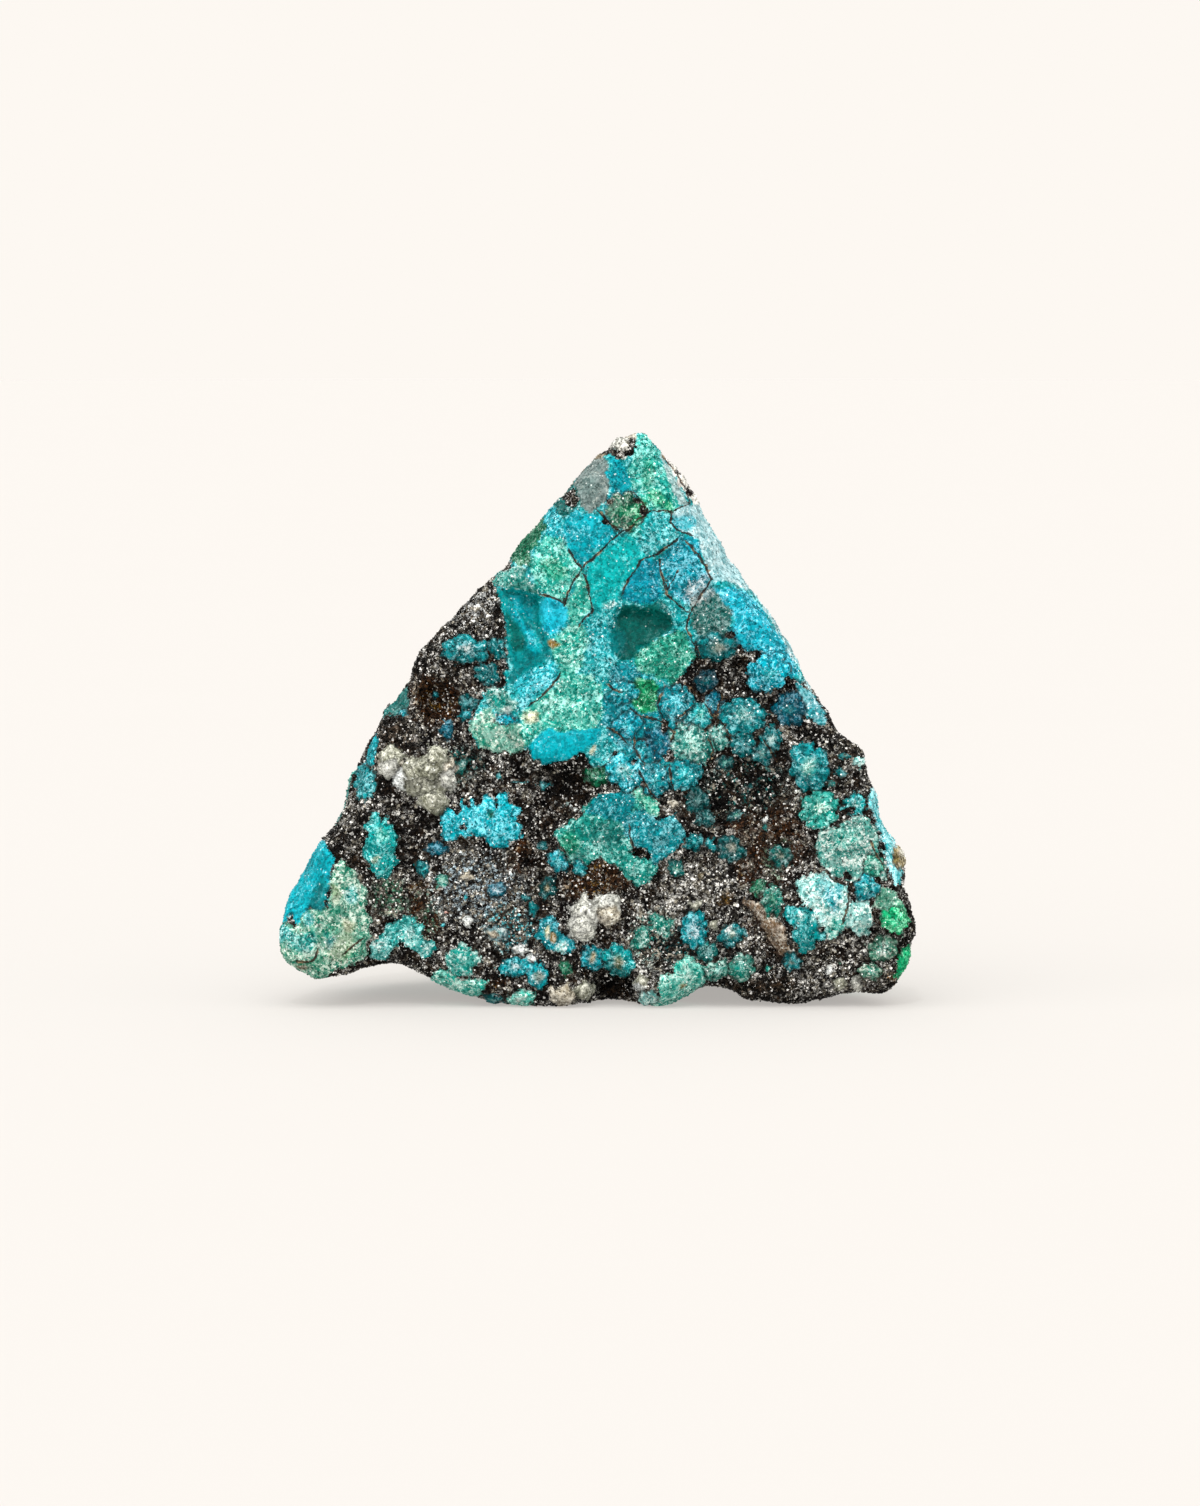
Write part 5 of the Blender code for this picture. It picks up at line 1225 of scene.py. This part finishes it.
def crack_look(s, fine, colour):
    """Cracks, dark brown with stretches of tan. The crack number is the distance, signed by side."""
    wobble = s.sum("MULTIPLY", s.sum("SUBTRACT", fine, 0.5), 0.3)
    off = s.sum("ABSOLUTE", s.sum("ADD", s.number("crack"), wobble))
    near = s.step(0.45, 0.35, s.number("seam"))
    place = s.place_in_mm()
    width = s.sum("ADD", 0.07, s.sum("MULTIPLY", s.step(0.35, 0.65, s.noise(place, 0.9, 2.0)), 0.12))
    line = s.sum("MULTIPLY", s.step(width, s.sum("MULTIPLY", width, 0.6), off), near)
    tan = s.sum("MULTIPLY", s.step(0.52, 0.58, s.noise(place, 1.3, 4.0, 0.6)), s.step(0.03, 0.06, off))
    brown = s.mix(tan, (0.022, 0.012, 0.008, 1.0), (0.24, 0.17, 0.09, 1.0))
    return s.mix(s.sum("MULTIPLY", line, 0.92), colour, brown)


# How strongly shade is painted into the skin's hollows and light onto its bumps.
RELIEF_SHADE_STRENGTH = 1.0


def relief_shade_of(mesh):
    """How far each point stands out of its neighbours' middle, from about -0.6 to 0.6, used to paint shade
    into hollows and light onto bumps.
    """
    points, normals = points_of(mesh), normals_of(mesh)
    ends = np.empty(len(mesh.edges) * 2, int)
    mesh.edges.foreach_get("vertices", ends)
    first, second = ends.reshape(-1, 2).T
    middle = points
    for _ in range(3):
        total, count = np.zeros_like(points), np.zeros(len(points))
        for here, there in ((first, second), (second, first)):
            np.add.at(total, here, middle[there])
            np.add.at(count, here, 1.0)
        middle = total / count[:, None]
    return np.clip(np.sum((points - middle) * normals, axis=1) / 0.12, -0.6, 0.5)


PAINTS = ("crust", "matrix", "speck", "edge", "seam", "crack", "lace", "gloss", "fleck", "spray")

# Crystals strewn over the skin: each is a small eight-sided solid, about a quarter sunk in
GRAINS_PER_PIECE = 24000
FRONT_GRAIN_PIECES = 3
SIDES = np.array([(1, 0, 0), (-1, 0, 0), (0, 1, 0), (0, -1, 0), (0, 0, 1), (0, 0, -1)], float)
SIDE_FACES = np.array([
    (0, 2, 4), (2, 1, 4), (1, 3, 4), (3, 0, 4), (2, 0, 5), (1, 2, 5), (3, 1, 5), (0, 3, 5),
])


class Feet:
    """Random places on the skin, with the paint there."""

    def __init__(self, mesh, paint, weight, count, draw):
        mesh.calc_loop_triangles()
        corners = np.empty(len(mesh.loop_triangles) * 3, int)
        mesh.loop_triangles.foreach_get("vertices", corners)
        corners = corners.reshape(-1, 3)
        points, normals = points_of(mesh), normals_of(mesh)
        spans = points[corners[:, 1:]] - points[corners[:, :1]]
        area = np.linalg.norm(np.cross(spans[:, 0], spans[:, 1]), axis=1) * weight[corners].mean(axis=1)
        total = np.cumsum(area)
        chosen = corners[np.searchsorted(total, draw.random(count) * total[-1])]
        share = draw.dirichlet((1.0, 1.0, 1.0), count)
        self.blend = lambda values: np.einsum("gk,gk...->g...", share, values[chosen])
        self.points, self.normals = self.blend(points), self.blend(normals)
        self.normals /= np.linalg.norm(self.normals, axis=1, keepdims=True)
        self.paint = {name: self.blend(getattr(paint, name)) for name in PAINTS}


def turns(draw, count):
    """Random rotations, one matrix for each grain."""
    q = draw.normal(size=(count, 4))
    w, x, y, z = (q / np.linalg.norm(q, axis=1, keepdims=True)).T
    rows = [
        (1 - 2 * (y * y + z * z), 2 * (x * y - z * w), 2 * (x * z + y * w)),
        (2 * (x * y + z * w), 1 - 2 * (x * x + z * z), 2 * (y * z - x * w)),
        (2 * (x * z - y * w), 2 * (y * z + x * w), 1 - 2 * (x * x + y * y)),
    ]
    return np.moveaxis(np.array(rows), -1, 0)


def grain_piece(name, feet, sizes, proud, material, draw):
    """One joined mesh of grains. Each is turned at random and stands proud of its foot."""
    count = len(feet.points)
    shape = SIDES[None] * sizes[:, None, None] * (0.75 + 0.6 * draw.random((count, 1, 3)))
    shape = np.einsum("gij,gvj->gvi", turns(draw, count), shape)
    points = shape + (feet.points + feet.normals * proud[:, None])[:, None]
    low, high = np.array(cad_box[0]) / MM, np.array(cad_box[1]) / MM
    points = np.clip(points, low, high).reshape(-1, 3)
    faces = (SIDE_FACES[None] + 6 * np.arange(count)[:, None, None]).reshape(-1, 3)
    mesh = bpy.data.meshes.new(name)
    mesh.vertices.add(len(points))
    mesh.loops.add(faces.size)
    mesh.polygons.add(len(faces))
    mesh.loops.foreach_set("vertex_index", faces.ravel())
    mesh.polygons.foreach_set("loop_start", np.arange(0, faces.size, 3))
    set_points(mesh, points)
    mesh.validate()
    mesh.shade_flat()
    for layer, values in feet.paint.items():
        store(mesh, layer, np.repeat(values, 6, axis=0))
    bright = draw.random(count)
    spread = np.where(feet.paint["edge"] > 0, 0.9, 1.4)
    store(mesh, "shade", np.repeat(0.95 + spread * (bright - 0.5), 6))
    # A tenth of the grains carry a painted glint of random strength.
    store(mesh, "painted_spark", np.repeat((draw.random(count) > 0.9) * (0.3 + 0.7 * bright), 6))
    store(mesh, "relief_shade", np.zeros(6 * count))
    mesh.materials.append(material)
    grains = new_object(name, mesh)
    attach(grains, "root")


def make_grains(mesh, paint):
    """Three pieces of small crystals in front and one of coarser ones on the sides and back."""
    points, normals = points_of(mesh), normals_of(mesh)
    _, h, depth = face_places(points)
    front = np.maximum(smooth_step(0.15, 0.4, facing_of(normals)), smooth_step(4.5, 2.5, depth - 0.055 * h))
    material = mineral_material("drusy_grains", 0.08, 0.15)
    for index in range(FRONT_GRAIN_PIECES + 1):
        draw = np.random.default_rng(100 + index)
        behind = index == FRONT_GRAIN_PIECES
        crust = smooth_step(-0.1, 0.1, paint.edge)
        open_skin = smooth_step(0.05, 0.22, paint.seam) * (1.0 - crust * (0.7 + 0.28 * paint.gloss)) + 0.01
        weight = (1.02 - front if behind else front) * open_skin
        feet = Feet(mesh, paint, weight, GRAINS_PER_PIECE, draw)
        in_crust = smooth_step(-0.1, 0.1, feet.paint["edge"])
        smooth = feet.paint["gloss"] * in_crust
        sizes = 0.08 + (0.10 - 0.06 * in_crust) * draw.random(GRAINS_PER_PIECE) ** 2
        sizes *= 1.5 if behind else 1.0
        proud = sizes * (0.25 - 0.7 * smooth)
        proud -= 0.15 * smooth_step(0.12, 0.0, feet.paint["seam"])
        grain_piece(f"grains_{index + 1}", feet, sizes, proud, material, draw)


def make_skin():
    mesh = dense_skin(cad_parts["stone"])
    paint = make_paint(points_of(mesh), normals_of(mesh))
    add_relief(mesh, paint)
    for name in PAINTS:
        store(mesh, name, getattr(paint, name))
    store(mesh, "relief_shade", relief_shade_of(mesh))
    store(mesh, "shade", np.ones(len(mesh.vertices)))
    store(mesh, "painted_spark", np.zeros(len(mesh.vertices)))
    mesh.materials.clear()
    mesh.materials.append(mineral_material("chrysocolla_in_matrix", 0.05, 0.5))
    mesh.shade_smooth()
    skin = new_object("stone_skin", mesh)
    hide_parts("stone")
    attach(skin, "root")
    make_grains(mesh, paint)


# Picture: the photograph's long side spans this much at the face, and its middle is at this place
PICTURE_HEIGHT = 150.6
PICTURE_MIDDLE = (0.27, 25.7)
PICTURE_PLANE = 1.4
LENS = 150.0
SENSOR = 36.0
BACKGROUND = (253, 248, 242)
FLOOR_RADIUS = 3.0
FLOOR_GLOW = 0.42


def place_on_face(x, h, depth):
    """A point in the frame, in metres, from its place as the viewer sees it."""
    sin, cos = math.sin(VIEW_TILT), math.cos(VIEW_TILT)
    low = cad_box[0] / MM
    y = low.y + FOOT_BEHIND_FRONT + h * sin + depth * cos
    return Vector((x + FACE_SHIFT_X, y, h * cos - depth * sin - SETTLE)) * MM


def make_camera():
    data = bpy.data.cameras.new("camera")
    data.lens, data.sensor_width = LENS, SENSOR
    camera = new_object("camera", data)
    distance = PICTURE_HEIGHT * LENS / SENSOR
    camera.location = place_on_face(*PICTURE_MIDDLE, PICTURE_PLANE - distance)
    camera.rotation_euler = (math.radians(90) - VIEW_TILT, 0.0, 0.0)
    bpy.context.scene.camera = camera


def make_floor():
    body = bmesh.new()
    bmesh.ops.create_circle(body, cap_ends=True, segments=64, radius=FLOOR_RADIUS)
    mesh = bpy.data.meshes.new("floor")
    body.to_mesh(mesh)
    body.free()
    s = Shader("pale_floor")
    back = linear(BACKGROUND)
    suns = sum(sun[1] * math.sin(math.radians(sun[4])) for sun in SUNS) / math.pi
    tone = [float(c) * (1.0 - FLOOR_GLOW) for c in back / (back + suns)]
    mottle = s.noise(s.place_in_mm(), 0.02, 2.0)
    colour = s.mix(mottle, (*[c * 0.995 for c in tone], 1.0), (*[c * 1.005 for c in tone], 1.0))
    s.feed(s.surface.inputs["Base Color"], colour)
    s.surface.inputs["Emission Color"].default_value = (*back, 1.0)
    s.surface.inputs["Emission Strength"].default_value = FLOOR_GLOW
    s.surface.inputs["Roughness"].default_value = 1.0
    s.surface.inputs["Specular IOR Level"].default_value = 0.0
    mesh.materials.append(s.material)
    floor = new_object("floor", mesh)


SUNS = [
    # name, strength, softness, azimuth and elevation that it shines from, in degrees
    ("key_light", 2.1, 90.0, -30.0, 50.0),
    ("fill_light", 0.9, 120.0, 40.0, 30.0),
    ("glint_light", 0.5, 4.0, -10.0, 55.0),
    ("back_light", 1.1, 80.0, 175.0, 68.0),
]


def make_lights():
    world = bpy.data.worlds.new("studio")
    world.use_nodes = True
    shade = world.node_tree.nodes["Background"]
    shade.inputs["Color"].default_value = (*linear(BACKGROUND), 1.0)
    bpy.context.scene.world = world
    for name, strength, softness, azimuth, elevation in SUNS:
        data = bpy.data.lights.new(name, "SUN")
        data.energy, data.angle = strength, math.radians(softness)
        light = new_object(name, data)
        a, e = math.radians(azimuth), math.radians(elevation)
        source = Vector((math.sin(a) * math.cos(e), -math.cos(a) * math.cos(e), math.sin(e)))
        light.rotation_euler = source.to_track_quat("Z", "Y").to_euler()


bpy.context.scene.view_settings.view_transform = "Standard"
make_camera()
make_floor()
make_lights()
make_skin()
